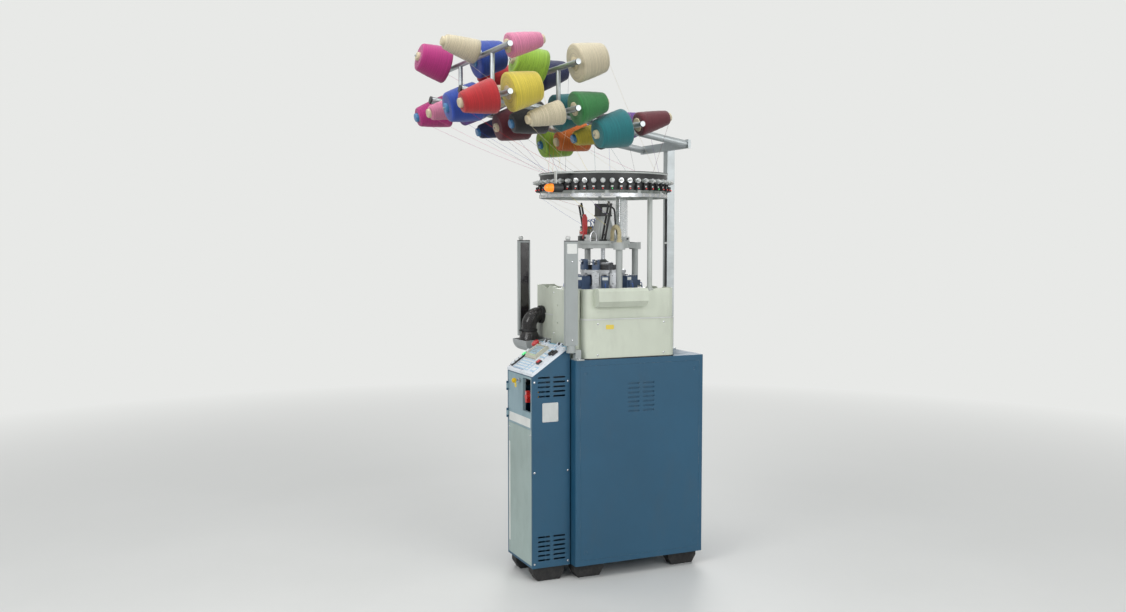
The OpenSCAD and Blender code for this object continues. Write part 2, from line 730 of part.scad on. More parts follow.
// Machine bed: round casting on four legs, with the bore in which the cylinder's carrier turns
leg_x = 150;
leg_y = 120;
module bed_casting() {
  hub_h = 60;
  color(cast_grey) difference() {
    union() {
      translate([0, axis_y, bed_z - bed_t]) cylinder(h = bed_t, r = bed_r);
      translate([0, axis_y, bed_z - bed_t - hub_h]) cylinder(h = hub_h + over, r = carrier_r + 18);
      for (sx = [-1, 1], sy = [-1, 1]) translate([sx * leg_x, axis_y + sy * leg_y, base_top]) {
        cylinder(h = bed_z - bed_t - base_top + over, r = 13);
        cylinder(h = 12, r = 26);
      }
    }
    translate([0, axis_y, bed_z - bed_t - hub_h - over])
      cylinder(h = bed_t + hub_h + 2 * over, r = carrier_r + run_gap);
    for (k = [0 : 11]) round_axis(k * 30 + 15) translate([bed_r - 14, 0, bed_z - 3]) cylinder(h = 4, r = 4.5);
  }
}

// Smoked outlet pipe: elbow out of the body, straight neck and a bell over the tray
bell_h = 62;
bell_r = 54;
pipe_y = body_y - 16 - pipe_bend;
pipe_z = base_top + pipe_up;
neck_z = pipe_z - pipe_bend;
bell_z = base_top + 32;
module pipe_bore(r) {
  translate([-pipe_x, body_y - 16, pipe_z]) rotate([-90, 0, 0]) cylinder(h = 16, r = r);
  translate([-pipe_x, pipe_y + pipe_bend, neck_z]) rotate([90, 0, 90]) rotate([0, 0, 90])
    rotate_extrude(angle = 90) translate([pipe_bend, 0]) circle(r);
  translate([-pipe_x, pipe_y, bell_z + bell_h]) cylinder(h = neck_z - bell_z - bell_h, r = r);
}
module sock_pipe() {
  color([0.35, 0.36, 0.37, 0.6]) {
    difference() {
      pipe_bore(pipe_r);
      pipe_bore(pipe_r - pipe_wall);
    }
    translate([-pipe_x, pipe_y, bell_z]) rotate_extrude() polygon([
      [bell_r, 0], [bell_r - 4, bell_h * 0.45], [pipe_r + 6, bell_h * 0.85], [pipe_r, bell_h],
      [pipe_r - pipe_wall, bell_h], [pipe_r + 6 - pipe_wall, bell_h * 0.82],
      [bell_r - 4 - pipe_wall, bell_h * 0.42], [bell_r - pipe_wall, 0]
    ]);
  }
}

// Clamps on the pipe: two black rings at the elbow's mouth and a steel band with its screw lug
module pipe_clamps() {
  color(black) {
    for (k = [0, 1]) translate([-pipe_x, body_y - 15 + k * 8, pipe_z]) rotate([-90, 0, 0]) difference() {
      cylinder(h = 6, r = pipe_r + 6);
      translate([0, 0, -over]) cylinder(h = 6 + 2 * over, r = pipe_r);
    }
    translate([-pipe_x, pipe_y, bell_z + bell_h + 1]) {
      difference() {
        cylinder(h = 9, r = pipe_r + 3);
        translate([0, 0, -over]) cylinder(h = 9 + 2 * over, r = pipe_r);
      }
      translate([-6, -pipe_r - 14, 0]) cube([12, 12, 9]);
    }
  }
}

// Tray below the outlet: a scoop of folded sheet that rests on the pedestal's top
tray_x0 = -post_x + barrel_r + 2;
tray_lip = 54;
module tray_profile(inset) {
  polygon(concat(
    [[body_y - inset, tray_h + (inset > 0 ? over : 0)], [body_y - inset, inset]],
    [for (a = [0 : 15 : 75]) [body_y - tray_d + tray_lip - tray_lip * sin(a) + inset * sin(a),
      tray_lip - (tray_lip - inset) * cos(a)]],
    [[body_y - tray_d + inset, tray_lip + (inset > 0 ? over : 0)]]
  ));
}
module front_tray() {
  color(grey) translate([0, 0, base_top]) difference() {
    side_profile(tray_x0, tray_x0 + tray_w) tray_profile(0);
    side_profile(tray_x0 + sheet, tray_x0 + tray_w - sheet) tray_profile(sheet);
    translate([tray_x0 + sheet, body_y - tray_d - over, tray_lip])
      cube([tray_w - 2 * sheet, tray_d - sheet, tray_h]);
  }
}

// Guard brackets: an arm from the pedestal's top to the pivot barrel below each post
post_y = cab_y + post_back;
barrel_z = post_z - barrel_h - slide_gap;
module guard_brackets() {
  color(grey) for (s = [-1, 1]) translate([s * post_x, 0, 0]) {
    translate([0, post_y, barrel_z]) cylinder(h = barrel_h, r = barrel_r);
    translate([0, post_y, barrel_z + barrel_h - over]) cylinder(h = 26 + over, r = pivot_r);
    translate([-12, post_y, barrel_z]) cube([24, base_y + 30 - post_y, 12]);
    translate([-12, base_y + 2, base_top]) cube([24, 28, barrel_z - base_top]);
    translate([-30, base_y + 2, base_top]) cube([48 + 12 * s, 36, 6]);
  }
}

// Guard post: a square tube with rounded front edges, a cap with a round knob and a window groove
window_w = 40;
window_d = 3;
module guard_post(s) {
  color(grey) translate([s * post_x, post_y, post_z]) {
    difference() {
      linear_extrude(post_h) round_rect(post_w, post_d, 2.5);
      translate([-s * (post_w / 2 - window_d / 2 + over / 2), 0, post_h / 2])
        cube([window_d + over, window_w, post_h - 20], center = true);
      translate([0, 0, -over]) cylinder(h = 28, r = pivot_r + run_gap);
      for (z = [24, post_h - 90]) translate([s * (post_w / 2 - 1), 0, z]) rotate([0, s * 90, 0])
        cylinder(h = 3, r = 2.2);
    }
    translate([0, 0, post_h]) linear_extrude(3) round_rect(post_w - 3, post_d - 4, 2);
    translate([0, -post_d / 4, post_h + 3]) rotate_extrude()
      polygon([[0, 0], [8, 0], [8, 5], [11, 7], [11, 16], [8, 19], [0, 20]]);
  }
}
module left_guard_post() { guard_post(-1); }
module right_guard_post() { guard_post(1); }

// Smoked window strip in the inner face of a post
module guard_window(s) {
  color([0.12, 0.11, 0.12]) translate([s * post_x - s * (post_w / 2 - window_d / 2), post_y, post_z + post_h / 2])
    cube([window_d - 0.6, window_w - 1, post_h - 21], center = true);
}
module left_guard_window() { guard_window(-1); }
module right_guard_window() { guard_window(1); }

// Drive motor on the pedestal, with cooling fins and a flange
belt_z = base_top + 120;
motor_y = axis_y + motor_back;
motor_h = 92;
module drive_motor() {
  color(black) translate([0, motor_y, base_top]) difference() {
    union() {
      linear_extrude(motor_h) round_rect(motor_w, motor_w, 12);
      translate([0, 0, motor_h]) cylinder(h = 10, r = 32);
    }
    for (s = [-1, 1], k = [-4 : 4]) {
      translate([s * motor_w / 2, k * 9, motor_h / 2]) cube([12, 4, motor_h - 24], center = true);
      translate([k * 9, s * motor_w / 2, motor_h / 2]) cube([4, 12, motor_h - 24], center = true);
    }
    translate([0, 0, 20]) cylinder(h = motor_h, r = 9 + run_gap);
  }
}

// Motor pulley with its shaft and two flanges
module pulley_rim(r) {
  cylinder(h = belt_w, r = r);
  for (z = [-3, belt_w]) translate([0, 0, z]) cylinder(h = 3, r = r + 4);
}
module motor_pulley() {
  color(steel) translate([0, motor_y, 0]) {
    translate([0, 0, base_top + 30]) cylinder(h = belt_z - base_top, r = 9);
    translate([0, 0, belt_z]) pulley_rim(pulley_small_r);
  }
}

// Toothed belt, drawn as its smooth outline round both pulleys
belt_t = 3;
belt_gap = 0.3;
module belt_outline(grow) {
  r1 = pulley_big_r + grow;
  r2 = pulley_small_r + grow;
  lean = asin((r1 - r2) / motor_back);
  circle(r1, $fn = 96);
  translate([0, motor_back]) circle(r2);
  polygon([
    [r1 * cos(lean), r1 * sin(lean)], [r2 * cos(lean), motor_back + r2 * sin(lean)],
    [-r2 * cos(lean), motor_back + r2 * sin(lean)], [-r1 * cos(lean), r1 * sin(lean)]
  ]);
}
module drive_belt() {
  color(black) translate([0, axis_y, belt_z + 1]) linear_extrude(belt_w - 2) difference() {
    belt_outline(belt_gap + belt_t);
    belt_outline(belt_gap);
  }
}

// Needle cylinder: grooved cylinder on its carrier tube, with the drive pulley, and the needles in it
groove_d = 2.4;
groove_share = 0.45;
needle_up = 9;
module needle_cylinder() {
  step = 360 / grooves;
  color(steel) translate([0, axis_y, 0]) {
    difference() {
      union() {
        translate([0, 0, bed_z - 0.5]) linear_extrude(cyl_top - bed_z + 0.5)
          polygon([for (k = [0 : grooves - 1], e = [0 : 3])
            let (a = step * (k + [0, 1 - groove_share, 1 - groove_share, 1][e]),
                 r = e < 2 ? cyl_r : cyl_r - groove_d)
            [r * cos(a), r * sin(a)]]);
        translate([0, 0, belt_z - 10]) cylinder(h = bed_z - 0.5 - belt_z + 10, r = carrier_r);
        translate([0, 0, belt_z]) pulley_rim(pulley_big_r);
      }
      translate([0, 0, belt_z - 11]) cylinder(h = cyl_top - belt_z + 12, r = way_r);
    }
    for (k = [0 : grooves - 1]) rotate([0, 0, step * (k + 1 - groove_share / 2)])
      translate([cyl_r - groove_d - 1.2, -0.5, cyl_top - 0.01]) cube([2.2, 1, needle_up]);
  }
}

// Cam box: ring of cam segments round the cylinder, with windows and screwed plates
module cam_box() {
  color(steel) translate([0, axis_y, bed_z]) difference() {
    union() {
      cylinder(h = cam_h, r = cam_r - 12);
      cylinder(h = 16, r = cam_r);
      translate([0, 0, cam_h - 14]) cylinder(h = 14, r = cam_r);
      for (k = [0 : actuator_n - 1]) rotate([0, 0, k * 360 / actuator_n])
        translate([cam_r - 24, -17, 12]) cube([20, 34, cam_h - 20]);
    }
    translate([0, 0, -over]) cylinder(h = cam_h + 2 * over, r = cyl_r + 1.5);
    for (k = [0 : actuator_n - 1]) rotate([0, 0, (k + 0.5) * 360 / actuator_n])
      translate([cyl_r, -13, 20]) cube([cam_r, 26, cam_h - 42]);
  }
}

// Sinker cap: knurled ring on the cam box
module sinker_cap() {
  h = cyl_top - bed_z - cam_h;
  color([0.25, 0.26, 0.27]) translate([0, axis_y, cam_top]) difference() {
    cylinder(h = h, r = cyl_r + 26);
    translate([0, 0, -over]) cylinder(h = h + 2 * over, r = cyl_r + 1.5);
    for (k = [0 : 35]) rotate([0, 0, k * 10]) translate([cyl_r + 27, 0, -over])
      cylinder(h = h + 2 * over, r = 2.4, $fn = 16);
  }
}

// Needle selection actuators in the cam box's windows, each with its plug
actuator_r0 = cam_r + 0.6;
module actuators() {
  step = 360 / actuator_n;
  color([0.24, 0.33, 0.45]) for (k = [0 : actuator_n - 1]) round_axis((k + 0.5) * step) translate([0, 0, bed_z]) {
    difference() {
      translate([actuator_r0, -17, 0]) cube([54, 34, actuator_h]);
      for (j = [0 : 4]) translate([actuator_r0 + 8 + j * 9, -18, actuator_h - 8]) cube([3, 36, 9]);
    }
    translate([actuator_r0 + 54, -10, 14]) cube([14, 20, 26]);
    translate([actuator_r0 - 14, -12, 24]) cube([14, 24, actuator_h - 34]);
  }
}

// Yarn finger stations on the front of the cam box's top ring
finger_a0 = 225;
finger_step = 45;
finger_r = cam_r - 13;
finger_pin_z = cam_top + 40;
finger_pin_r = 3;
function finger_a(k) = finger_a0 + k * finger_step;
module finger_housings() {
  color([0.45, 0.5, 0.58]) for (k = [0 : finger_n - 1]) round_axis(finger_a(k)) translate([finger_r, 0, cam_top]) {
    translate([-12, -16, 0]) cube([24, 32, 24]);
    for (s = [-1, 1]) translate([-10, s * 12.5 - 3.5, 23]) cube([20, 7, 26]);
    translate([0, -16, finger_pin_z - cam_top]) rotate([-90, 0, 0]) cylinder(h = 32, r = finger_pin_r);
  }
}

// Yarn finger: a curved lever on its pin that brings one yarn to the needles
finger_t = 6;
module yarn_finger(k) {
  tip = finger_r - cyl_r;
  color("silver") round_axis(finger_a(k)) translate([finger_r, 0, finger_pin_z]) rotate([90, 0, 0])
    translate([0, 0, -finger_t / 2]) linear_extrude(finger_t) difference() {
      union() {
        circle(7);
        polygon([[-2, 7], [-24, 4], [-tip, -8], [-tip + 1, -13], [-tip + 9, -8], [-20, -4], [2, -7]]);
        translate([4, -3]) square([20, 6]);
      }
      circle(finger_pin_r + run_gap);
    }
}
module yarn_finger_1() { yarn_finger(0); }
module yarn_finger_2() { yarn_finger(1); }
module yarn_finger_3() { yarn_finger(2); }

// Dial plate with radial grooves, on the shaft that comes down through the bridge and cone
dial_z = cyl_top + 3;
module dial_plate() {
  color(steel) translate([0, axis_y, 0]) {
    translate([0, 0, dial_z]) difference() {
      cylinder(h = 9, r = dial_r);
      for (k = [0 : 35]) rotate([0, 0, k * 10]) translate([dial_r - 14, -0.7, 7.4]) cube([16, 1.4, 3]);
    }
    translate([0, 0, dial_z + 9]) cylinder(h = 14, r1 = dial_r - 16, r2 = shaft_r + 4);
    translate([0, 0, dial_z + 20]) cylinder(h = cone_top - dial_z - 24, r = shaft_r);
  }
}

// Bridge: three-armed casting on columns, with a round middle and the ribbed cone for the dial drive
column_r = 15;
column_at = 172;
bridge_arms = [90, 180, 0];
module bridge() {
  color(cast_grey) difference() {
    union() {
      translate([0, axis_y, bridge_z]) cylinder(h = bridge_t - 8, r = bridge_r - 8);
      translate([0, axis_y, bridge_top - 14]) cylinder(h = 14, r = bridge_r);
      for (a = bridge_arms) round_axis(a) {
        translate([bridge_r - 40, -26, bridge_z]) cube([column_at - bridge_r + 40, 52, bridge_t - 10]);
        translate([column_at, 0, bridge_z - 6]) cylinder(h = bridge_t, r = 28);
        translate([column_at, 0, bed_z]) cylinder(h = bridge_z - bed_z, r = column_r);
      }
      translate([0, axis_y, bridge_top - over]) rotate_extrude() polygon([
        [0, 0], [cone_r + 16, 0], [cone_r + 16, 7], [cone_r, 12], [cone_top_r, cone_h - 6],
        [cone_top_r + 4, cone_h - 6], [cone_top_r + 4, cone_h + over], [0, cone_h + over]
      ]);
      for (k = [0 : 3]) round_axis(45 + k * 90) rotate([90, 0, 0]) translate([0, bridge_top, -3]) linear_extrude(6)
        polygon([[20, 0], [cone_r + 14, 0], [cone_top_r + 2, cone_h - 8], [20, cone_h - 8]]);
    }
    translate([0, axis_y, bridge_z - over]) cylinder(h = cone_top - bridge_z - 3, r = shaft_r + run_gap);
    for (k = [0 : 3]) round_axis(k * 90) translate([cone_r + 9, 0, bridge_top]) cylinder(h = 8, r = 3.5);
  }
}

// Square dial motor on the cone, with end caps, its plug and the cable down to the bridge
cable_r = 4;
cable_route = [
  [0, 41, 44], [0, 50, 43], [0, 58, 36], [0, 62, 24], [0, 63, 8], [0, 64, -12], [0, 66, -36], [0, 70, -58],
  [0, 76, -78], [0, 84, -92], [0, 89, -102], [0, 90, -110], [0, 90, -115.7]
];
function tangent(p, k) = p[min(k + 1, len(p) - 1)] - p[max(k - 1, 0)];

// Round bar along a line of points that lies in one plane, whose normal is across
module swept(p, r, sides, across) {
  n = len(p);
  turn = 360 / sides;
  ring = [for (k = [0 : n - 1])
    let (t = tangent(p, k) / norm(tangent(p, k)), v = cross(t, across), reach = is_list(r) ? r[k] : r)
    for (j = [0 : sides - 1]) p[k] + reach * (cos(j * turn) * across + sin(j * turn) * v / norm(v))];
  polyhedron(ring, concat(
    [[for (j = [0 : sides - 1]) j]],
    [for (k = [0 : n - 2], j = [0 : sides - 1])
      [k * sides + j, (k + 1) * sides + j, (k + 1) * sides + (j + 1) % sides, k * sides + (j + 1) % sides]],
    [[for (j = [0 : sides - 1]) n * sides - 1 - j]]
  ));
}
module dial_motor() {
  color(black) translate([0, axis_y, cone_top]) {
    linear_extrude(dial_motor_h) round_rect(dial_motor_w - 4, dial_motor_w - 4, 5);
    for (z = [0, dial_motor_h - 7]) translate([0, 0, z])
      linear_extrude(7) round_rect(dial_motor_w, dial_motor_w, 5);
    translate([-9, dial_motor_w / 2 - 3, dial_motor_h - 24]) cube([18, 10.8, 16]);
    swept(cable_route, cable_r, 10, [1, 0, 0]);
  }
}

// Red shift lever at the front of the cone, pivoted between two lugs of the bridge
lever_y = axis_y - cone_r - 40;
lever_z = bridge_top + 16;
lever_l = 110;
lever_pin_r = 3;
module shift_lever() {
  color([0.75, 0.12, 0.12]) translate([0, lever_y, lever_z]) rotate([90, 0, 90]) translate([0, 0, -5])
    linear_extrude(10) difference() {
      union() {
        circle(9);
        polygon([[-8, -2], [-9, lever_l * 0.4], [-12, lever_l * 0.8], [-6, lever_l], [4, lever_l],
          [12, lever_l * 0.85],
          [13, lever_l * 0.5], [8, -2]]);
      }
      circle(lever_pin_r + run_gap);
    }
}

// Guide frames: two slanted black ladders with eyelets, and the lugs and pin of the shift lever
frame_x = 92;
frame_h = 188;
frame_lean = 22;
rung_pitch = 50;
module guide_frames() {
  color(black) {
    for (s = [-1, 1]) translate([s * frame_x, axis_y - 44, bridge_top]) {
      translate([-16, -12, 0]) cube([32, 24, 8]);
      difference() {
        rotate([0, s * frame_lean, 0]) {
          for (k = [-1, 1]) translate([k * 14 - 3, -4, 4]) cube([6, 8, frame_h]);
          for (k = [0 : 3]) translate([-14, -3, 30 + k * rung_pitch]) cube([28, 6, 5]);
        }
        translate([-frame_h, -20, -40]) cube([2 * frame_h, 40, 40]);
      }
    }
    for (s = [-1, 1]) translate([s * 9.3 - 3, lever_y - 9, bridge_top]) cube([6, 18, 26]);
    translate([-12.3, lever_y, lever_z]) rotate([0, 90, 0]) cylinder(h = 24.6, r = lever_pin_r);
  }
}

// Clear shield: a half tube of thin sheet that stands on the bridge behind the cone
shield_t = 3;
shield_h = 196;
module clear_shield() {
  color([0.85, 0.9, 0.92, 0.3]) translate([0, axis_y, bridge_top]) difference() {
    cylinder(h = shield_h, r = shield_r);
    translate([0, 0, -over]) cylinder(h = shield_h + 2 * over, r = shield_r - shield_t);
    translate([-shield_r - over, -shield_r - over, -over])
      cube([2 * shield_r + 2 * over, shield_r + 30, shield_h + 2 * over]);
    translate([-12, 0, -over]) cube([24, shield_r + over, 40]);
  }
}

// Valve block on the left arm of the bridge, with its valves and brass fittings
valve_n = 4;
valve_pitch = 19;
valve_base = 22;
module valve_block() {
  color([0.80, 0.80, 0.72]) translate([-column_at, axis_y, bridge_z + bridge_t - 6]) {
    translate([-26, -valve_n * valve_pitch / 2 - 2, 0]) cube([46, valve_n * valve_pitch + 4, valve_base]);
    for (k = [0 : valve_n - 1]) translate([-20, (k - valve_n / 2) * valve_pitch + 2, valve_base]) {
      cube([26, 15, 36]);
      translate([6, 2, 36]) cube([14, 11, 12]);
      translate([33, 7.5, 0]) cylinder(h = 34, r = 4);
      translate([33, 7.5, 34]) cylinder(h = 8, r = 6);
    }
  }
}

// Corrugated suction hose, held at both ends: from the right arm of the bridge down to the head
hose_r = 10;
hose_rib = 1.5;
hose_pitch = 6;
hose_bend = 37;
hose_low = 24;
hose_turn = 32;
hose_line = concat(
  [for (z = [0 : hose_pitch / 2 : hose_low - 1]) [hose_bend, 0, z - hose_low]],
  [for (k = [0 : hose_turn]) let (a = 180 * k / hose_turn) [hose_bend * cos(a), 0, hose_bend * sin(a)]],
  [for (z = [hose_pitch / 2 : hose_pitch / 2 : hose_low + 6]) [-hose_bend, 0, -z]]
);
hose_radii = [for (k = [0 : len(hose_line) - 1]) k % 2 == 0 ? hose_r : hose_r - hose_rib];
module suction_hose() {
  start_z = bridge_top - 6;
  color([0.80, 0.76, 0.62]) translate([column_at, axis_y, start_z]) {
    cylinder(h = 12, r = hose_r + 3);
    translate([-hose_bend, 0, 12 + hose_low]) swept(hose_line, hose_radii, 12, [0, 1, 0]);
  }
}

// Feeder ring: top plate, apron for the yarn units, hangers, the drilled flat bar and its posts
ring_t = 8;
ring_in = 150;
bar_h = 16;
post_ring_r = 232;
ring_posts = [45, 135];
beacon_x = 180;
beacon_z = ring_top - 76;
beacon_r = 20;
beacon_front = cab_y + 90;
holder_l = 45;
holder_y = beacon_front + 40;
apron_low = ring_top - apron_h;
module feeder_ring() {
  color([0.74, 0.76, 0.74]) difference() {
    union() {
      translate([0, axis_y, ring_top - ring_t]) difference() {
        cylinder(h = ring_t, r = ring_r + 6, $fn = 96);
        translate([0, 0, -over]) cylinder(h = ring_t + 2 * over, r = ring_in);
      }
      translate([0, axis_y, apron_low]) difference() {
        cylinder(h = apron_h - ring_t + over, r = ring_r, $fn = 96);
        translate([0, 0, -over]) cylinder(h = apron_h + 2, r = ring_r - 4, $fn = 96);
      }
      translate([0, axis_y, bar_z - bar_h / 2]) difference() {
        cylinder(h = bar_h, r = ring_r + 3, $fn = 96);
        translate([0, 0, -over]) cylinder(h = bar_h + 2 * over, r = ring_r - 1, $fn = 96);
      }
      for (k = [0 : 11]) round_axis(k * 30 + 7) translate([ring_r - 5, -8, bar_z - bar_h / 2])
        cube([5, 16, apron_low - bar_z + bar_h / 2 + 6]);
      for (a = ring_posts) round_axis(a) {
        translate([post_ring_r, 0, deck_z]) cylinder(h = ring_top - ring_t - deck_z + over, r = 12);
        translate([post_ring_r, 0, deck_z]) cylinder(h = 10, r = 22);
        translate([post_ring_r, 0, ring_top - ring_t - 14]) cylinder(h = 14, r = 24);
      }
      translate([-20, axis_y + ring_r, ring_top - ring_t])
        cube([40, mast_y - mast_w / 2 - axis_y - ring_r, ring_t]);
      translate([beacon_x - 10, holder_y + 12, ring_top - ring_t]) cube([20, 90, ring_t]);
      translate([beacon_x - 10, holder_y + 12, beacon_z + beacon_r]) cube([20, 5, ring_top - beacon_z - beacon_r]);
    }
    for (k = [0 : unit_n - 1]) round_axis((k + 0.5) * 360 / unit_n) {
      translate([ring_r - 6, 0, bar_z]) rotate([0, 90, 0]) cylinder(h = 20, r = 3, $fn = 16);
      translate([ring_r - 34, 0, ring_top - ring_t - over]) cylinder(h = ring_t + 2 * over, r = 5, $fn = 16);
    }
  }
}

// Angles of the yarn units, which leave a place free under the beacon's arm
function unit_angles() = [for (k = [0 : unit_n - 1]) (k + 0.5) * 360 / unit_n];
unit_gap = 0.25;
tension_z = ring_top - 42;

// Yarn tensioners: ribbed radial cylinders with an end button
module tensioners() {
  color([0.70, 0.71, 0.70]) for (a = unit_angles()) round_axis(a)
    translate([ring_r + unit_gap, 0, tension_z]) rotate([0, 90, 0]) rotate_extrude($fn = 32) polygon([
      [0, 0], [tension_r, 0], [tension_r, 8], [tension_r - 1.5, 8], [tension_r - 1.5, 10], [tension_r, 10],
      [tension_r, 18], [tension_r - 4, 18], [tension_r - 4, 21], [tension_r - 2, 22], [tension_r - 2, 27],
      [tension_r - 4, 29], [0, 29]
    ]);
}

// Yarn sensors: black boxes with a bracket, a label step and a lamp window, and the beacon's holder
sensor_z = ring_top - 74;
module sensor_housings() {
  color(black) {
    for (a = unit_angles()) round_axis(a) translate([ring_r + unit_gap + 0.05, 0, sensor_z]) {
      difference() {
        translate([0, -8, -11]) cube([20, 16, 22]);
        translate([17, -6, 2]) cube([4, 12, 7]);
      }
      translate([20, -5, -7]) cube([2, 10, 6]);
      translate([0, -3, 11]) cube([9, 6, 11.4]);
    }
    translate([beacon_x, holder_y, beacon_z]) rotate([-90, 0, 0]) cylinder(h = holder_l, r = beacon_r - 0.2);
  }
}

// Amber beacon: a ribbed dome on the front of its holder
module beacon_lamp() {
  color([0.95, 0.50, 0.08, 0.8]) translate([beacon_x, holder_y, beacon_z]) rotate([90, 0, 0]) rotate_extrude()
    polygon([
      [0, 0], [beacon_r - 1, 0], [beacon_r - 1, 8], [beacon_r - 2, 10], [beacon_r - 1, 12], [beacon_r - 2, 16],
      [beacon_r - 2, 24], [beacon_r - 5, 32], [beacon_r - 10, 37], [0, 40]
    ]);
}

// Creel: mast on the pedestal, two rising arms, cross rails in two tiers and the pins that hold the cones
mast_y = base_back - 22;
arm_l = 1130;
rail_s0 = arm_l - 150;
rail_n = 3;
cone_n = 4;
pin_r = 4;
pin_tilt = 14;
pin_l = 196;
tier_h = 196;
upper_n = 2;
module on_arm() {
  translate([0, mast_y - mast_w / 2 - 10, creel_z]) rotate([-creel_a, 0, 0]) children();
}
function rail_s(j) = rail_s0 - j * rail_pitch;
function cone_x(i) = (i - (cone_n - 1) / 2) * cone_pitch;

// One place for a cone is [rail, place along it, side of the rail, tier]
places = concat(
  [for (j = [0 : rail_n - 1], i = [0 : cone_n - 1], side = [-1, 1]) [j, i, side, 0]],
  [for (j = [0 : upper_n - 1], i = [0 : cone_n - 1]) [j, i, i % 2 == 0 ? 1 : -1, 1]]
);

// Pin frame: local z runs along the pin away from the rail, to the aisle side or to the mast side
module on_pin(p) {
  tilt = p[3] == 1 ? -pin_tilt * p[2] : pin_tilt;
  on_arm() translate([cone_x(p[1]), -rail_s(p[0]), 0]) rotate([creel_a, 0, 0])
    translate([0, 0, p[3] * tier_h]) rotate([p[2] * 90 + tilt, 0, 0]) children();
}
module creel_frame() {
  color(steel) {
    translate([-mast_w / 2, mast_y - mast_w / 2, base_top]) cube([mast_w, mast_w, creel_z - base_top + 24]);
    translate([0, mast_y, base_top]) linear_extrude(8) round_rect(96, mast_w + 3, 8);
    translate([-arm_x - 24, mast_y - mast_w / 2 - 12, creel_z - 20])
      cube([2 * arm_x + 48, 14, 40]);
    for (s = [-1, 1]) on_arm() translate([s * arm_x, 4, 0]) rotate([90, 0, 0]) cylinder(h = arm_l + 4, r = arm_r);
    for (j = [0 : rail_n - 1]) on_arm()
      translate([-rail_l / 2, -rail_s(j), 0]) rotate([0, 90, 0]) cylinder(h = rail_l, r = rail_r);
    for (j = [0 : upper_n - 1]) on_arm() translate([0, -rail_s(j), 0]) rotate([creel_a, 0, 0]) {
      translate([-rail_l / 2, 0, tier_h]) rotate([0, 90, 0]) cylinder(h = rail_l, r = rail_r);
      for (s = [-1, 1]) translate([s * arm_x, 0, 0]) cylinder(h = tier_h, r = rail_r - 2);
    }
    for (p = places) on_pin(p) {
      cylinder(h = pin_l, r = pin_r);
      translate([0, 0, rail_r + 4]) cylinder(h = 10, r = 14);
    }
  }
}

// Yarn cones: kind 0 is a wide flat one, 1 a common one, 2 a slim one, each wound on its core
cone_sizes = [[86, 66, 150], [76, 46, 158], [54, 34, 164]];
core_out = 12;
function cone_kind(p) = (p[0] * 4 + p[1] + (p[2] > 0 ? 1 : 0) + p[3] * 2) % 3;
function is_dark(p) = (p[0] * 3 + p[1] * 2 + (p[2] > 0 ? 1 : 0) + p[3]) % 5 > 1;
module yarn_cone(size) {
  foot = rail_r + 14 + slide_gap;
  translate([0, 0, foot]) difference() {
    rotate_extrude() polygon([
      [0, 0], [30, 0], [31, 6], [size[0] - 8, 6], [size[0], 14], [size[1], size[2] - 10], [size[1] - 9, size[2]],
      [21, size[2]], [19, size[2] + core_out], [0, size[2] + core_out]
    ]);
    translate([0, 0, -over]) cylinder(h = size[2] + core_out + 2 * over, r = pin_r + slide_gap);
  }
}
module cones(dark) {
  for (p = places) if (is_dark(p) == dark) on_pin(p) yarn_cone(cone_sizes[cone_kind(p)]);
}
module cones_light() { color([0.92, 0.84, 0.62]) cones(false); }
module cones_dark() { color([0.16, 0.28, 0.62]) cones(true); }

foot_pads();
base_frame();
base_panels();
cabinet_body();
lower_front_panel();
cabinet_door();
door_lock();
chassis_plate();
main_switch_knob();
control_panel();
panel_hinges();
display_unit();
emergency_stop_collar();
emergency_stop();
program_button_1();
program_button_2();
program_button_3();
program_button_4();
program_button_5();
stop_button();
panel_bezels();
body_lower_cover();
body_upper_cover();
front_box_cover();
side_cover();
bed_casting();
sock_pipe();
pipe_clamps();
front_tray();
guard_brackets();
left_guard_post();
right_guard_post();
left_guard_window();
right_guard_window();
drive_motor();
motor_pulley();
drive_belt();
needle_cylinder();
cam_box();
sinker_cap();
actuators();
finger_housings();
yarn_finger_1();
yarn_finger_2();
yarn_finger_3();
dial_plate();
bridge();
dial_motor();
shift_lever();
guide_frames();
clear_shield();
valve_block();
suction_hose();
feeder_ring();
tensioners();
sensor_housings();
beacon_lamp();
creel_frame();
cones_light();
cones_dark();
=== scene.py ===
# %% [markdown]
# # A circular sock knitting machine, dressed for a photograph
# The CAD model gives every rigid piece its true size and place. This script
# keeps those pieces, gives each a finish that shows paint, steel, rubber or
# yarn up close, and adds what CAD leaves out: wound cones, thread, screws,
# lamps, connectors and printed fields.

# %% Load the frame
import json
import math
import bpy
from mathutils import Matrix, Vector

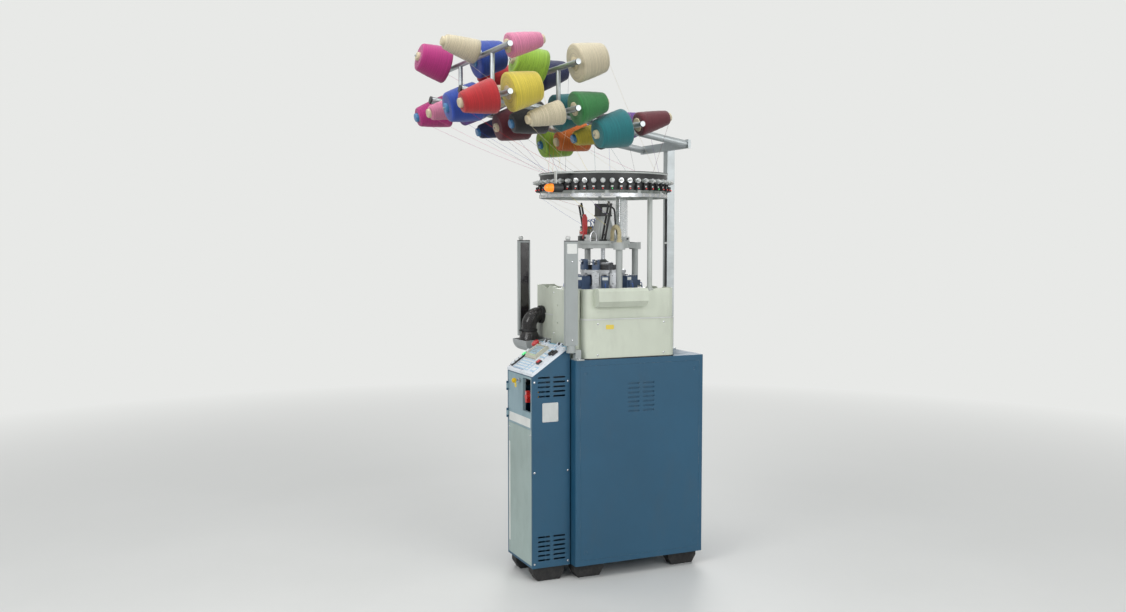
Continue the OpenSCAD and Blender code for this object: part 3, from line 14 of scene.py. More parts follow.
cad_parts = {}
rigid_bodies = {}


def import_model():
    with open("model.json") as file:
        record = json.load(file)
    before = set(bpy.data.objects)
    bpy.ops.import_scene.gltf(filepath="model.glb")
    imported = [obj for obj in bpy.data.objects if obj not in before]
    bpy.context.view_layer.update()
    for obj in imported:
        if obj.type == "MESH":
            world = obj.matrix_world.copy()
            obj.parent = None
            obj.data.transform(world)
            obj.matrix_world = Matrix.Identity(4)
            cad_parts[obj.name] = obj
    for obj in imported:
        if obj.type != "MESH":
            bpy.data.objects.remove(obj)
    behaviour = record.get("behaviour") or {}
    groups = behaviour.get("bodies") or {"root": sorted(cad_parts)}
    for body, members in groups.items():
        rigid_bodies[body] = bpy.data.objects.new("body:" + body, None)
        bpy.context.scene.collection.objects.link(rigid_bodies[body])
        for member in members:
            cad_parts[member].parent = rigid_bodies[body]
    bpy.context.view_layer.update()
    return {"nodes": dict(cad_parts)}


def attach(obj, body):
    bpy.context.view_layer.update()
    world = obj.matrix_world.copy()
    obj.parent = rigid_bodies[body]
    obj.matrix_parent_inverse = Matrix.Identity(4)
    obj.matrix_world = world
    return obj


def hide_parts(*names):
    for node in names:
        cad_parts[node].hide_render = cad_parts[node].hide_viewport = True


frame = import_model()
scene = bpy.context.scene

# %% [markdown]
# ## Camera
# In the mill the machine is seen from its cabinet side, a little forward of
# square, with the eye at about 1.56 m. A 35 mm lens from five metres keeps the
# upright posts upright, and the whole creel stays in the frame.

# %% Make the camera
EYE_HEIGHT, EYE_DISTANCE, EYE_AZIMUTH = 1.56, 5.15, math.radians(66)
AIM = Vector((0.0, 0.02, 1.225))


def look_at(piece, place, aim):
    """Puts a camera or a lamp at a place and turns it to an aim."""
    scene.collection.objects.link(piece)
    piece.location = place
    piece.rotation_euler = (Vector(aim) - Vector(place)).to_track_quat("-Z", "Y").to_euler()


camera_data = bpy.data.cameras.new("camera")
camera_data.lens = 35
camera_data.sensor_width = 36
camera = bpy.data.objects.new("camera", camera_data)
look_at(camera, (AIM.x + EYE_DISTANCE * math.sin(EYE_AZIMUTH),
                 AIM.y - EYE_DISTANCE * math.cos(EYE_AZIMUTH), EYE_HEIGHT), AIM)
scene.camera = camera
scene.view_settings.view_transform = "Standard"
print("camera at", [round(v, 2) for v in camera.location])

# %% [markdown]
# ## Modelling tools
# Every new piece starts as a primitive and is shaped in edit mode. A few short
# helpers hold the steps that each piece needs: deselect all, shape, round or
# smooth the edges, and freeze the place into the mesh.

# %% Helpers for selecting
def clear_selection():
    """Nothing selected, so an operator only touches new work."""
    if bpy.context.object and bpy.context.object.mode != "OBJECT":
        bpy.ops.object.mode_set(mode="OBJECT")
    bpy.ops.object.select_all(action="DESELECT")


def choose(*pieces):
    """Only these pieces selected, with the first of them active."""
    clear_selection()
    for piece in pieces:
        piece.select_set(True)
    bpy.context.view_layer.objects.active = pieces[0]


def edit_all():
    """Edit mode with everything selected."""
    bpy.ops.object.mode_set(mode="EDIT")
    bpy.ops.mesh.select_all(action="SELECT")


def end_edit():
    """Every face turned outwards, and object mode again."""
    bpy.ops.mesh.select_all(action="SELECT")
    bpy.ops.mesh.normals_make_consistent(inside=False)
    bpy.ops.object.mode_set(mode="OBJECT")


# %% Helpers for finishing
# The script's own materials by name. Some CAD materials have the same names.
MADE = {}


def freeze(piece, name, finish_name, body="root"):
    """Puts a piece's place into its mesh, and gives it a name, a finish and a body."""
    choose(piece)
    bpy.ops.object.transform_apply(location=True, rotation=True, scale=True)
    piece.name = piece.data.name = name
    piece.data.materials.clear()
    piece.data.materials.append(MADE[finish_name])
    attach(piece, body)
    return piece


def outward(piece):
    """Merges doubles and turns every face outwards."""
    choose(piece)
    edit_all()
    bpy.ops.mesh.remove_doubles(threshold=1e-6)
    end_edit()


def smooth(piece, degrees=35):
    """Shades soft faces smooth and keeps sharp edges sharp."""
    choose(piece)
    bpy.ops.object.shade_smooth_by_angle(angle=math.radians(degrees))
    return piece


def applied(piece, kind, **settings):
    """A modifier that is set and applied at once."""
    choose(piece)
    modifier = piece.modifiers.new(kind, kind)
    for key, value in settings.items():
        setattr(modifier, key, value)
    bpy.ops.object.modifier_apply(modifier=kind)


def bevelled(piece, width, segments=2):
    """Rounds a piece's edges."""
    applied(piece, "BEVEL", width=width, segments=segments, limit_method="ANGLE")
    return piece


# %% Shapes
def slab(size, place=(0, 0, 0), round_edge=0.0005, segments=2):
    """A plate or block of a given size round a centre, with rounded edges."""
    clear_selection()
    bpy.ops.mesh.primitive_cube_add(size=1, location=place)
    piece = bpy.context.object
    piece.scale = size
    bpy.ops.object.transform_apply(location=True, rotation=False, scale=True)
    return bevelled(piece, round_edge, segments)


def turned(profile, sides=24, soft=35, move=Matrix.Identity(4)):
    """A lathe-turned piece: a disc that is extruded and resized step by step along Z.
    The profile is a list of (radius, height) from the bottom centre to the top."""
    clear_selection()
    radius, height = profile[0]
    bpy.ops.mesh.primitive_circle_add(vertices=sides, radius=radius, fill_type="NGON",
                                      location=(0, 0, 0))
    piece = bpy.context.object
    edit_all()
    bpy.ops.transform.translate(value=(0, 0, height))
    for next_radius, next_height in profile[1:]:
        bpy.ops.mesh.extrude_region_move(
            TRANSFORM_OT_translate={"value": (0, 0, next_height - height)})
        ratio = next_radius / radius
        bpy.ops.transform.resize(value=(ratio, ratio, 1), center_override=(0, 0, next_height))
        radius, height = next_radius, next_height
    end_edit()
    if soft:
        smooth(piece, soft)
    piece.data.transform(move)
    return piece


def torus(radius, thick, place=(0, 0, 0), sides=96, minor=8, soft=180):
    """A ring of round wire."""
    clear_selection()
    bpy.ops.mesh.primitive_torus_add(location=place, major_radius=radius, minor_radius=thick,
                                     major_segments=sides, minor_segments=minor)
    return smooth(bpy.context.object, soft)


def placed_copy(piece, matrix):
    """A copy with its own mesh, moved by a matrix."""
    twin = piece.copy()
    twin.data = piece.data.copy()
    twin.data.transform(matrix)
    scene.collection.objects.link(twin)
    return twin


def merged(pieces):
    """Joins pieces into one object."""
    choose(*pieces)
    if len(pieces) > 1:
        bpy.ops.object.join()
    return pieces[0]


def spread(pattern, spots):
    """Copies of a pattern at several places, as one object. The pattern itself goes."""
    piece = merged([placed_copy(pattern, spot) for spot in spots])
    bpy.data.objects.remove(pattern)
    return piece


def shift(x, y, z):
    """A matrix that moves a piece."""
    return Matrix.Translation((x, y, z))


def facing(place, axis):
    """A matrix that moves a piece made along +Z to a place, with +Z turned to an axis."""
    tilt = Vector((0, 0, 1)).rotation_difference(Vector(axis).normalized())
    return Matrix.Translation(place) @ tilt.to_matrix().to_4x4()


print("tools ready")

# %% [markdown]
# ## Studio
# The floor is pale concrete that fades into the background colour a few metres
# out, so the machine's shadow stays and no horizon cuts through the picture.
# Large soft lamps stand in for the mill's rows of ceiling tubes.

# %% Colours as they look on a screen
def screen(r, g, b, a=1.0):
    """A colour written as 0 to 255 values, as the linear numbers that shaders use."""
    def linear(v):
        v /= 255
        return v / 12.92 if v <= 0.04045 else ((v + 0.055) / 1.055) ** 2.4
    return (linear(r), linear(g), linear(b), a)


BACKGROUND = screen(232, 233, 231)

# %% Node helpers
class Nodes:
    """Adds nodes to one tree. A link is (input, source), a source a socket or a value."""

    def __init__(self, tree):
        self.tree = tree

    def add(self, kind, *links, **settings):
        node = self.tree.nodes.new("ShaderNode" + kind)
        for key, value in settings.items():
            setattr(node, key, value)
        for target, source in links:
            if isinstance(source, bpy.types.NodeSocket):
                self.tree.links.new(source, node.inputs[target])
            else:
                node.inputs[target].default_value = source
        return node

    def place(self):
        return self.add("TexCoord").outputs["Object"]

    def noise(self, vector, scale, detail=3.0, roughness=0.5):
        return self.add("TexNoise", ("Vector", vector), ("Scale", scale), ("Detail", detail),
                        ("Roughness", roughness)).outputs["Fac"]

    def streaks(self, vector, scale, detail, roughness):
        """Noise on a vector with each axis scaled by itself."""
        scaled = self.add("Mapping", ("Vector", vector), ("Scale", scale)).outputs["Vector"]
        return self.noise(scaled, 1.0, detail, roughness)

    def remap(self, value, low, high, to_low=0, to_high=1):
        """Maps a value from one range to another and clamps it."""
        return self.add("MapRange", ("Value", value), ("From Min", low), ("From Max", high),
                        ("To Min", to_low), ("To Max", to_high), clamp=True).outputs["Result"]

    def maths(self, operation, first, second):
        return self.add("Math", (0, first), (1, second), operation=operation).outputs[0]

    def times(self, first, second):
        return self.maths("MULTIPLY", first, second)

    def plus(self, first, second):
        return self.maths("ADD", first, second)

    def blended(self, factor, first, second, mode="MIX"):
        """Two colours mixed by a factor."""
        return self.add("Mix", (0, factor), (6, first), (7, second), data_type="RGBA",
                        blend_type=mode).outputs[2]

    def shaded(self, color, level):
        """A colour made lighter or darker by a level."""
        grey = self.add("CombineColor", (0, level), (1, level), (2, level)).outputs[0]
        return self.blended(1.0, color, grey, "MULTIPLY")

    def seen(self):
        """One for rays that come from the camera, a mirror or a clear piece."""
        rays = self.add("LightPath").outputs
        seen = self.maths("MAXIMUM", rays["Is Camera Ray"], rays["Is Glossy Ray"])
        return self.maths("MAXIMUM", seen, rays["Is Transmission Ray"])


def new_material(name):
    material = MADE[name] = bpy.data.materials.new(name)
    material.use_nodes = True
    return material


def opened(material):
    """The node helper and the shader of a material."""
    tree = material.node_tree
    return Nodes(tree), tree.nodes["Principled BSDF"]


print("node helpers ready")

# %% Floor
clear_selection()
bpy.ops.mesh.primitive_grid_add(x_subdivisions=2, y_subdivisions=2, size=60)
floor = bpy.context.object
floor.name = "studio_floor"
concrete = new_material("pale_floor")
nodes, shader = opened(concrete)
place = nodes.place()
cloud = nodes.noise(place, 1.3, 5.0, 0.6)
link = nodes.tree.links.new
link(nodes.blended(cloud, screen(206, 207, 204), screen(220, 220, 217)),
     shader.inputs["Base Color"])
link(nodes.remap(cloud, 0.3, 0.7, 0.42, 0.6), shader.inputs["Roughness"])
reach = nodes.add("VectorMath", (0, place), operation="LENGTH").outputs["Value"]
fade = nodes.remap(reach, 2.2, 6.5)
glow = nodes.add("Emission", ("Color", BACKGROUND), ("Strength", 1.0)).outputs[0]
mix = nodes.add("MixShader", (0, nodes.times(fade, nodes.seen())), (1, shader.outputs[0]),
                (2, glow))
link(mix.outputs[0], nodes.tree.nodes["Material Output"].inputs["Surface"])
floor.data.materials.append(concrete)

# %% World and lamps
world = bpy.data.worlds.new("studio")
scene.world = world
world.use_nodes = True
world.node_tree.nodes.clear()
nodes = Nodes(world.node_tree)
ambient, backdrop = [
    nodes.add("Background", ("Color", color), ("Strength", strength)).outputs[0]
    for color, strength in ((screen(236, 240, 245), 0.42), (BACKGROUND, 1.0))]
mix = nodes.add("MixShader", (0, nodes.seen()), (1, ambient), (2, backdrop))
nodes.add("OutputWorld", ("Surface", mix.outputs[0]))

LAMPS = [  # name, place, aim, width, depth, watts
    ("ceiling_tubes", (0.4, -0.6, 4.6), (0, 0, 1.0), 3.6, 3.0, 95),
    ("aisle_side", (2.2, -4.2, 3.2), (0, 0, 1.1), 2.6, 2.2, 85),
    ("cabinet_side", (4.6, 1.4, 2.6), (0, 0.1, 1.1), 2.6, 2.2, 75),
    ("far_side", (-4.2, 2.6, 3.0), (0, 0.1, 1.2), 2.4, 2.0, 55),
]
for name, spot, aim, width, depth, watts in LAMPS:
    data = bpy.data.lights.new(name, "AREA")
    data.shape = "RECTANGLE"
    data.size, data.size_y, data.energy = width, depth, watts
    look_at(bpy.data.objects.new(name, data), spot, aim)
print("lamps:", len(LAMPS))

# %% [markdown]
# ## Shared surface effects
# Each family of surface gets one node group, and every material of that family
# uses it with its own values. A group gives a colour, a roughness and a height,
# and the shader itself stays in the material.

# %% Begin and end a group
def surface_group(name, **inputs):
    """A node group, its node helper and its input sockets. An input is label=kind."""
    tree = bpy.data.node_groups.new(name, "ShaderNodeTree")
    outputs = {"Color": "Color", "Roughness": "Float", "Height": "Float"}
    for in_out, labels in (("INPUT", inputs), ("OUTPUT", outputs)):
        for label, kind in labels.items():
            tree.interface.new_socket(name=label, in_out=in_out,
                                      socket_type="NodeSocket" + kind)
    return Nodes(tree), tree.nodes.new("NodeGroupInput").outputs


def give(nodes, *results):
    """Joins a group's colour, roughness and height to its outputs."""
    output = nodes.tree.nodes.new("NodeGroupOutput")
    for result, socket in zip(results, output.inputs):
        nodes.tree.links.new(result, socket)


# %% Painted sheet metal
# Powder coat on a machine that has run for some years: broad soft colour drift,
# fine orange peel, a few dull hand marks, and bare edges where paint rubs off.
g, take = surface_group("painted_surface", Color="Color", Primer="Color", Gloss="Float",
                        Wear="Float", Grime="Float")
place = g.place()
grease = g.streaks(place, (9, 9, 3.2), 6.0, 0.68)
peel = g.noise(place, 420.0, 2.0, 0.5)
scuffs = g.streaks(place, (60, 60, 11), 5.0, 0.75)
tinted = g.shaded(take["Color"], g.remap(g.noise(place, 2.4, 4.0, 0.6), 0.3, 0.7, 0.90, 1.07))
soiled = g.times(g.remap(grease, 0.48, 0.74), take["Grime"])
tinted = g.blended(soiled, tinted, screen(96, 92, 82))
soft_edge = g.add("Bevel", ("Radius", 0.0022), samples=4).outputs["Normal"]
flat = g.add("NewGeometry").outputs["Normal"]
corner = g.add("VectorMath", (0, soft_edge), (1, flat), operation="DOT_PRODUCT").outputs["Value"]
rubbed = g.times(g.remap(corner, 0.985, 0.90), g.remap(scuffs, 0.50, 0.60))
rubbed = g.times(rubbed, take["Wear"])
give(g, g.blended(rubbed, tinted, take["Primer"]),
     g.plus(take["Gloss"], g.times(g.remap(grease, 0.42, 0.66), 0.16)),
     g.maths("SUBTRACT", g.times(peel, 0.6), rubbed))

# %% Worked steel
# Ground, turned or drawn steel: fine streaks along one direction, cloudy
# oil film, and a roughness that changes with both.
g, take = surface_group("worked_metal", Color="Color", Streaks="Vector", Gloss="Float",
                        Tarnish="Float")
place = g.place()
scaled = g.add("VectorMath", (0, place), (1, take["Streaks"]), operation="MULTIPLY")
streak = g.noise(scaled.outputs["Vector"], 1.0, 3.0, 0.6)
stain = g.times(g.remap(g.noise(place, 14.0, 5.0, 0.65), 0.42, 0.75), take["Tarnish"])
lit_up = g.shaded(take["Color"], g.remap(streak, 0.25, 0.75, 0.86, 1.06))
rough = g.plus(take["Gloss"], g.remap(streak, 0.3, 0.7, -0.05, 0.07))
give(g, g.blended(stain, lit_up, screen(88, 80, 66)), g.plus(rough, g.times(stain, 0.5)), streak)

# %% Moulded plastic and rubber
# A fine spark-eroded grain from the mould, faint flow clouds, and handling
# marks that are a little shinier than the grain.
g, take = surface_group("moulded_surface", Color="Color", Dust_color="Color", Gloss="Float",
                        Grain="Float", Dust="Float")
place = g.place()
cloud = g.noise(place, 9.0, 4.0, 0.6)
grain = g.noise(place, take["Grain"], 2.0, 0.5)
lit_up = g.shaded(take["Color"], g.remap(cloud, 0.3, 0.7, 0.9, 1.08))
facing_up = g.add("SeparateXYZ", (0, g.add("NewGeometry").outputs["Normal"])).outputs[2]
lint = g.times(g.remap(facing_up, 0.2, 0.95, 0.25, 1),
               g.remap(g.noise(place, 45.0, 6.0, 0.75), 0.44, 0.68))
lint = g.times(lint, take["Dust"])
rough = g.plus(take["Gloss"], g.remap(cloud, 0.35, 0.7, -0.06, 0.1))
give(g, g.blended(lint, lit_up, take["Dust_color"]), g.plus(rough, g.times(lint, 0.3)), grain)

# %% Wound yarn
# A cone is cross wound: thread climbs and falls in long spirals, so two sets of
# fine slanting lines cross. Between the lines and in the low bands the colour is
# mixed toward a darker Shadow colour: painted shade in the gaps between the turns.
# The pattern follows the piece's UV map, where u runs round the cone and v along it.
g, take = surface_group("wound_thread", Color="Color", Shadow="Color", Threads="Float",
                        Fuzz="Float")
uv = g.add("UVMap").outputs["UV"]
u, v, _ = g.add("SeparateXYZ", (0, uv)).outputs
climb = g.plus(g.times(u, 2.0), g.times(v, take["Threads"]))
fall = g.maths("SUBTRACT", g.times(climb, 0.31), g.times(u, 3.0))
fall = g.plus(fall, g.noise(uv, 6.0, 3.0, 0.6))
rise, sink = [g.maths("SINE", g.times(wave, math.tau), 0.0) for wave in (climb, fall)]
lay = g.remap(g.plus(rise, g.times(sink, 0.45)), -1.3, 1.3)
bands = g.remap(g.streaks(uv, (0.7, 30, 1), 2.0, 0.6), 0.35, 0.65)
fibre = g.noise(g.place(), 900.0, 2.0, 0.6)
# Painted shade: where the lines and bands are low, the colour goes toward the darker Shadow
# colour.
depth = g.plus(g.times(lay, 0.6), g.times(bands, 0.4))
give(g, g.blended(depth, take["Shadow"], take["Color"]), g.remap(fibre, 0.3, 0.7, 0.78, 0.95),
     g.plus(lay, g.times(fibre, take["Fuzz"])))
print("surface groups:", [group.name for group in bpy.data.node_groups])


# %% [markdown]
# ## Finishes
# One function places a group in a new material and joins its outputs to the
# shader. What is even all over, such as a coat or a metal value, is set on the
# shader's own socket.

# %% Build a finish
def finish(name, group, values, bump, depth, coat=None, **sockets):
    """A material from a surface group: its values, its relief, a clear coat's weight and
    roughness, and plain shader values."""
    if coat:
        sockets["coat_weight"], sockets["coat_roughness"] = coat
    material = new_material(name)
    nodes, shader = opened(material)
    surface = nodes.add("Group", node_tree=bpy.data.node_groups[group])
    for key, value in values.items():
        if "olor" in key or key in ("Primer", "Shadow"):
            value = screen(*value)
        surface.inputs[key].default_value = value
    relief = nodes.add("Bump", ("Height", surface.outputs["Height"]), ("Strength", bump),
                       ("Distance", depth))
    for source, target in ((surface.outputs["Color"], "Base Color"),
                           (surface.outputs["Roughness"], "Roughness"),
                           (relief.outputs["Normal"], "Normal")):
        nodes.tree.links.new(source, shader.inputs[target])
    for key, value in sockets.items():
        shader.inputs[key.replace("_", " ").title()].default_value = value
    return material


def painted(name, color, primer, gloss, wear, grime, **more):
    values = {"Color": color, "Primer": primer, "Gloss": gloss, "Wear": wear, "Grime": grime}
    return finish(name, "painted_surface", values, 0.12, 0.0003, **more)


def steel(name, color, streaks=(40, 40, 900), gloss=0.28, tarnish=0.2, bump=0.05):
    values = {"Color": color, "Streaks": streaks, "Gloss": gloss, "Tarnish": tarnish}
    return finish(name, "worked_metal", values, bump, 0.0002, metallic=1.0)


def moulded(name, color, gloss, grain, dust, bump=0.12, **more):
    values = {"Color": color, "Dust_color": (150, 146, 138), "Gloss": gloss, "Grain": grain,
              "Dust": dust}
    return finish(name, "moulded_surface", values, bump, 0.0003, **more)


def yarn(name, color):
    """Wound thread, with painted shade, its colour darkened, in the gaps between turns."""
    values = {"Color": color, "Shadow": [c * 0.62 for c in color], "Threads": 118.0, "Fuzz": 0.3}
    return finish(name, "wound_thread", values, 0.4, 0.0006, sheen_weight=0.3)


print("finish functions ready")

# %% [markdown]
# ## Finishes for the CAD pieces
# The colours follow the mill's machine: a dark teal-blue cabinet and pedestal,
# a pale grey-green front, cream covers, a white membrane, mid-grey guards, and
# bare steel where yarn and needles run.

# %% Paints
painted("blue_powder_coat", (31, 81, 109), (130, 140, 146), 0.45, 0.5, 0.12)
painted("grey_green_paint", (138, 165, 174), (176, 184, 184), 0.36, 0.4, 0.14)
painted("pale_grey_green_paint", (160, 178, 173), (184, 190, 188), 0.36, 0.4, 0.14)
painted("cream_paint", (203, 209, 193), (150, 150, 140), 0.34, 0.3, 0.16)
painted("guard_grey_paint", (158, 164, 163), (176, 180, 180), 0.4, 0.5, 0.16)
painted("cast_grey_paint", (178, 182, 180), (182, 186, 188), 0.42, 0.6, 0.26)
painted("motor_black_paint", (36, 37, 39), (110, 110, 112), 0.42, 0.4, 0.2)
painted("tray_grey_paint", (166, 171, 171), (178, 182, 184), 0.42, 0.6, 0.28)

# %% Metals
steel("ground_steel", (186, 189, 193))
steel("needle_steel", (170, 172, 176), (900, 900, 8), 0.3, 0.28)
steel("blackened_steel", (78, 80, 84), (30, 30, 600), 0.38, 0.35)
painted("ring_satin_enamel", (191, 196, 192), (160, 162, 162), 0.33, 0.5, 0.2, coat=(0.15, 0.3))
steel("galvanised_tube", (176, 182, 184), (70, 12, 70), 0.42, 0.16)
steel("polished_steel", (206, 208, 211), (20, 20, 300), 0.16, 0.12)
steel("brass_fittings", (190, 150, 78), (50, 50, 500), 0.3, 0.3)

# %% Plastics and rubber
moulded("black_rubber", (30, 30, 31), 0.72, 260.0, 0.35, bump=0.3)
moulded("black_plastic", (34, 35, 37), 0.46, 700.0, 0.2)
moulded("white_membrane", (224, 231, 238), 0.3, 1500.0, 0.05, bump=0.05, coat=(0.3, 0.2))
moulded("beige_plastic", (200, 197, 178), 0.42, 800.0, 0.14)
moulded("cream_valve_plastic", (204, 201, 182), 0.4, 800.0, 0.16)
moulded("white_button_plastic", (230, 236, 238), 0.26, 900.0, 0.06, bump=0.05,
        coat=(0.3, 0.15))
moulded("signal_red_plastic", (196, 30, 32), 0.26, 900.0, 0.08, bump=0.05, coat=(0.4, 0.15))
moulded("switch_red_plastic", (202, 40, 34), 0.34, 900.0, 0.1)
moulded("signal_yellow_plastic", (238, 196, 32), 0.38, 900.0, 0.1)
moulded("lever_red_grip", (190, 34, 36), 0.34, 500.0, 0.1)
moulded("head_blue_plastic", (70, 88, 116), 0.36, 500.0, 0.16)
moulded("hose_beige_plastic", (198, 186, 148), 0.44, 500.0, 0.22)
moulded("white_plastic", (206, 208, 205), 0.42, 700.0, 0.16)
moulded("smoked_window", (34, 31, 33), 0.12, 1200.0, 0.14, bump=0.02, coat=(0.6, 0.06))
moulded("blank_label", (224, 226, 222), 0.5, 1400.0, 0.1, bump=0.05)
moulded("blank_yellow_tag", (232, 206, 84), 0.5, 1400.0, 0.1, bump=0.05)


# %% [markdown]
# ### Lit and clear pieces
# The green program button and the amber beacon glow a little, because a lamp
# sits behind them. Smoked tube and clear shield let light through, with dust
# that makes the sheet visible.

# %% Lit and clear finishes
def lit(name, color, glow, strength, gloss=0.25, grain=900.0):
    """A plastic that shines from inside, brighter where the lamp cloud is."""
    nodes, shader = opened(moulded(name, color, gloss, grain, 0.05, bump=0.05))
    cloud = nodes.noise(nodes.place(), 60.0, 2.0, 0.5)
    shine = nodes.blended(cloud, screen(*[c * 0.7 for c in glow]), screen(*glow))
    nodes.tree.links.new(shine, shader.inputs["Emission Color"])
    shader.inputs["Emission Strength"].default_value = strength


def clear(name, color, alpha, dusty, gloss=0.06):
    """A see-through plastic whose dust and finger marks catch the light."""
    nodes, shader = opened(moulded(name, color, gloss, 300.0, 0.3, bump=0.02))
    film = nodes.remap(nodes.noise(nodes.place(), 16.0, 6.0, 0.7), 0.4, 0.75, alpha, dusty)
    nodes.tree.links.new(film, shader.inputs["Alpha"])


lit("lit_green_button", (120, 236, 160), (90, 240, 140), 0.55)
lit("green_lamp", (90, 230, 130), (60, 240, 110), 1.2)
lit("red_lamp", (230, 60, 50), (250, 40, 30), 1.1)
lit("amber_lens", (240, 130, 30), (255, 126, 24), 1.0, 0.14)
lit("display_glow", (120, 168, 190), (120, 176, 200), 0.35, 0.16, 1500.0)
clear("smoked_tube", (44, 42, 44), 0.64, 0.86, 0.10)
clear("clear_sheet", (226, 232, 234), 0.20, 0.42)
clear("clear_cover", (214, 226, 228), 0.22, 0.34)

# %% Dress the CAD nodes
FINISHES = {
    "blue_powder_coat": "base_frame base_panels cabinet_body chassis_plate",
    "grey_green_paint": "cabinet_door",
    "pale_grey_green_paint": "lower_front_panel",
    "cream_paint": "body_lower_cover body_upper_cover front_box_cover side_cover",
    "guard_grey_paint": "guard_brackets left_guard_post right_guard_post",
    "tray_grey_paint": "front_tray",
    "cast_grey_paint": "bed_casting bridge",
    "black_rubber": "foot_pads drive_belt",
    "black_plastic": "panel_hinges panel_bezels pipe_clamps sensor_housings guide_frames",
    "motor_black_paint": "drive_motor dial_motor",
    "white_membrane": "control_panel",
    "beige_plastic": "display_unit",
    "white_button_plastic": "program_button_1 program_button_2 program_button_3 program_button_5",
    "lit_green_button": "program_button_4",
    "signal_red_plastic": "emergency_stop stop_button",
    "switch_red_plastic": "main_switch_knob",
    "lever_red_grip": "shift_lever",
    "signal_yellow_plastic": "emergency_stop_collar",
    "ground_steel": "door_lock cam_box dial_plate yarn_finger_1 yarn_finger_2 yarn_finger_3",
    "needle_steel": "needle_cylinder motor_pulley",
    "blackened_steel": "sinker_cap",
    "head_blue_plastic": "actuators finger_housings",
    "smoked_tube": "sock_pipe",
    "smoked_window": "left_guard_window right_guard_window",
    "clear_sheet": "clear_shield",
    "cream_valve_plastic": "valve_block",
    "hose_beige_plastic": "suction_hose",
    "ring_satin_enamel": "feeder_ring tensioners",
    "amber_lens": "beacon_lamp",
    "galvanised_tube": "creel_frame",
}
for finish_name, names in FINISHES.items():
    for name in names.split():
        mesh = frame["nodes"][name].data
        mesh.materials.clear()
        mesh.materials.append(MADE[finish_name])
print("dressed CAD nodes:", sum(len(names.split()) for names in FINISHES.values()))

# %% [markdown]
# ## Yarn cones
# Thirty-two cones hang on the creel's pins. Each is a paper or plastic core
# with thread cross wound round it, thicker at the foot. The body is turned like
# a pot, with shallow ridges where the thread turns back, and its UV map runs
# round and along it so that the winding follows the cone.

# %% Where the pins are, as the CAD places them
CREEL_Z, CREEL_ANGLE, ARM_FOOT_Y = 1.985, math.radians(10), 0.557
RAIL_S = [0.980, 0.664, 0.348]
CONE_PITCH, TIER_H, PIN_TILT = 0.212, 0.196, math.radians(14)
PIN_FOOT, CORE_OUT = 0.0263, 0.012
CONE_SIZES = [(0.086, 0.066, 0.150), (0.076, 0.046, 0.158), (0.054, 0.034, 0.164)]
ARMS = shift(0, ARM_FOOT_Y, CREEL_Z) @ Matrix.Rotation(-CREEL_ANGLE, 4, "X")
UPRIGHT = Matrix.Rotation(CREEL_ANGLE, 4, "X")

pins = [(j, i, side, 0) for j in range(3) for i in range(4) for side in (-1, 1)]
pins += [(j, i, 1 if i % 2 == 0 else -1, 1) for j in range(2) for i in range(4)]


def pin_matrix(j, i, side, tier):
    """The place of a pin: +Z runs along it, away from its rail."""
    tilt = -PIN_TILT * side if tier else PIN_TILT
    rail = shift((i - 1.5) * CONE_PITCH, -RAIL_S[j], 0)
    upright = UPRIGHT @ shift(0, 0, tier * TIER_H)
    return ARMS @ rail @ upright @ Matrix.Rotation(side * math.pi / 2 + tilt, 4, "X")


def cone_kind(j, i, side, tier):
    return (j * 4 + i + (1 if side > 0 else 0) + tier * 2) % 3


def wrap_uv(piece):
    """UV for a turned piece: u round the axis, v along it in units of 0.1 m."""
    layer = piece.data.uv_layers.active
    for face in piece.data.polygons:
        middle = math.atan2(face.center.y, face.center.x)
        for loop in face.loop_indices:
            spot = piece.data.vertices[piece.data.loops[loop].vertex_index].co
            angle = math.atan2(spot.y, spot.x)
            angle += round((middle - angle) / math.tau) * math.tau
            slant = math.hypot(spot.x, spot.y) * 0.5
            layer.data[loop].uv = (angle / math.tau, (spot.z + slant) * 10)


print("pins:", len(pins))

# %% Turn one cone of each kind
def wound_body(base, nose, length):
    """The wound thread of one cone, from its foot at z 6 mm to its nose. It is cut
    back by a hair, so that no thread stands proud of the CAD cone."""
    base, nose = base - 0.0004, nose - 0.0004
    profile = [(0.0305, 0.0065), (base - 0.010, 0.0062), (base - 0.003, 0.0085), (base, 0.014)]
    rings = 9
    for k in range(1, rings):
        t = k / rings
        ridge = 0.0004 if k % 2 else -0.0002
        swell = 0.0016 * math.sin(math.pi * t)
        profile.append((base + (nose - base) * t + ridge + swell, 0.014 + (length - 0.024) * t))
    profile += [(nose, length - 0.010), (nose - 0.0035, length - 0.0035),
                (nose - 0.010, length - 0.0005), (0.0225, length - 0.0015)]
    piece = turned(profile, 40, soft=50)
    wrap_uv(piece)
    return piece


def cone_core(length):
    """The core that shows at both ends: a rolled lip at the foot and a blunt nose."""
    piece = turned([(0.0045, 0.0), (0.0285, 0.0), (0.0300, 0.0012), (0.0304, 0.0035),
                    (0.0300, 0.0066), (0.0220, 0.012)], 28, soft=40)
    nose = turned([(0.0212, length - 0.006), (0.0208, length + 0.002),
                   (0.0198, length + CORE_OUT - 0.002), (0.0180, length + CORE_OUT),
                   (0.0045, length + CORE_OUT + 0.0001)], 28, soft=40)
    piece = merged([piece, nose])
    wrap_uv(piece)
    return piece


bodies = [wound_body(*size) for size in CONE_SIZES]
cores = [cone_core(size[2]) for size in CONE_SIZES]
for piece in bodies + cores:
    piece.data.transform(shift(0, 0, PIN_FOOT))
print("faces in a wound body:", len(bodies[0].data.polygons))

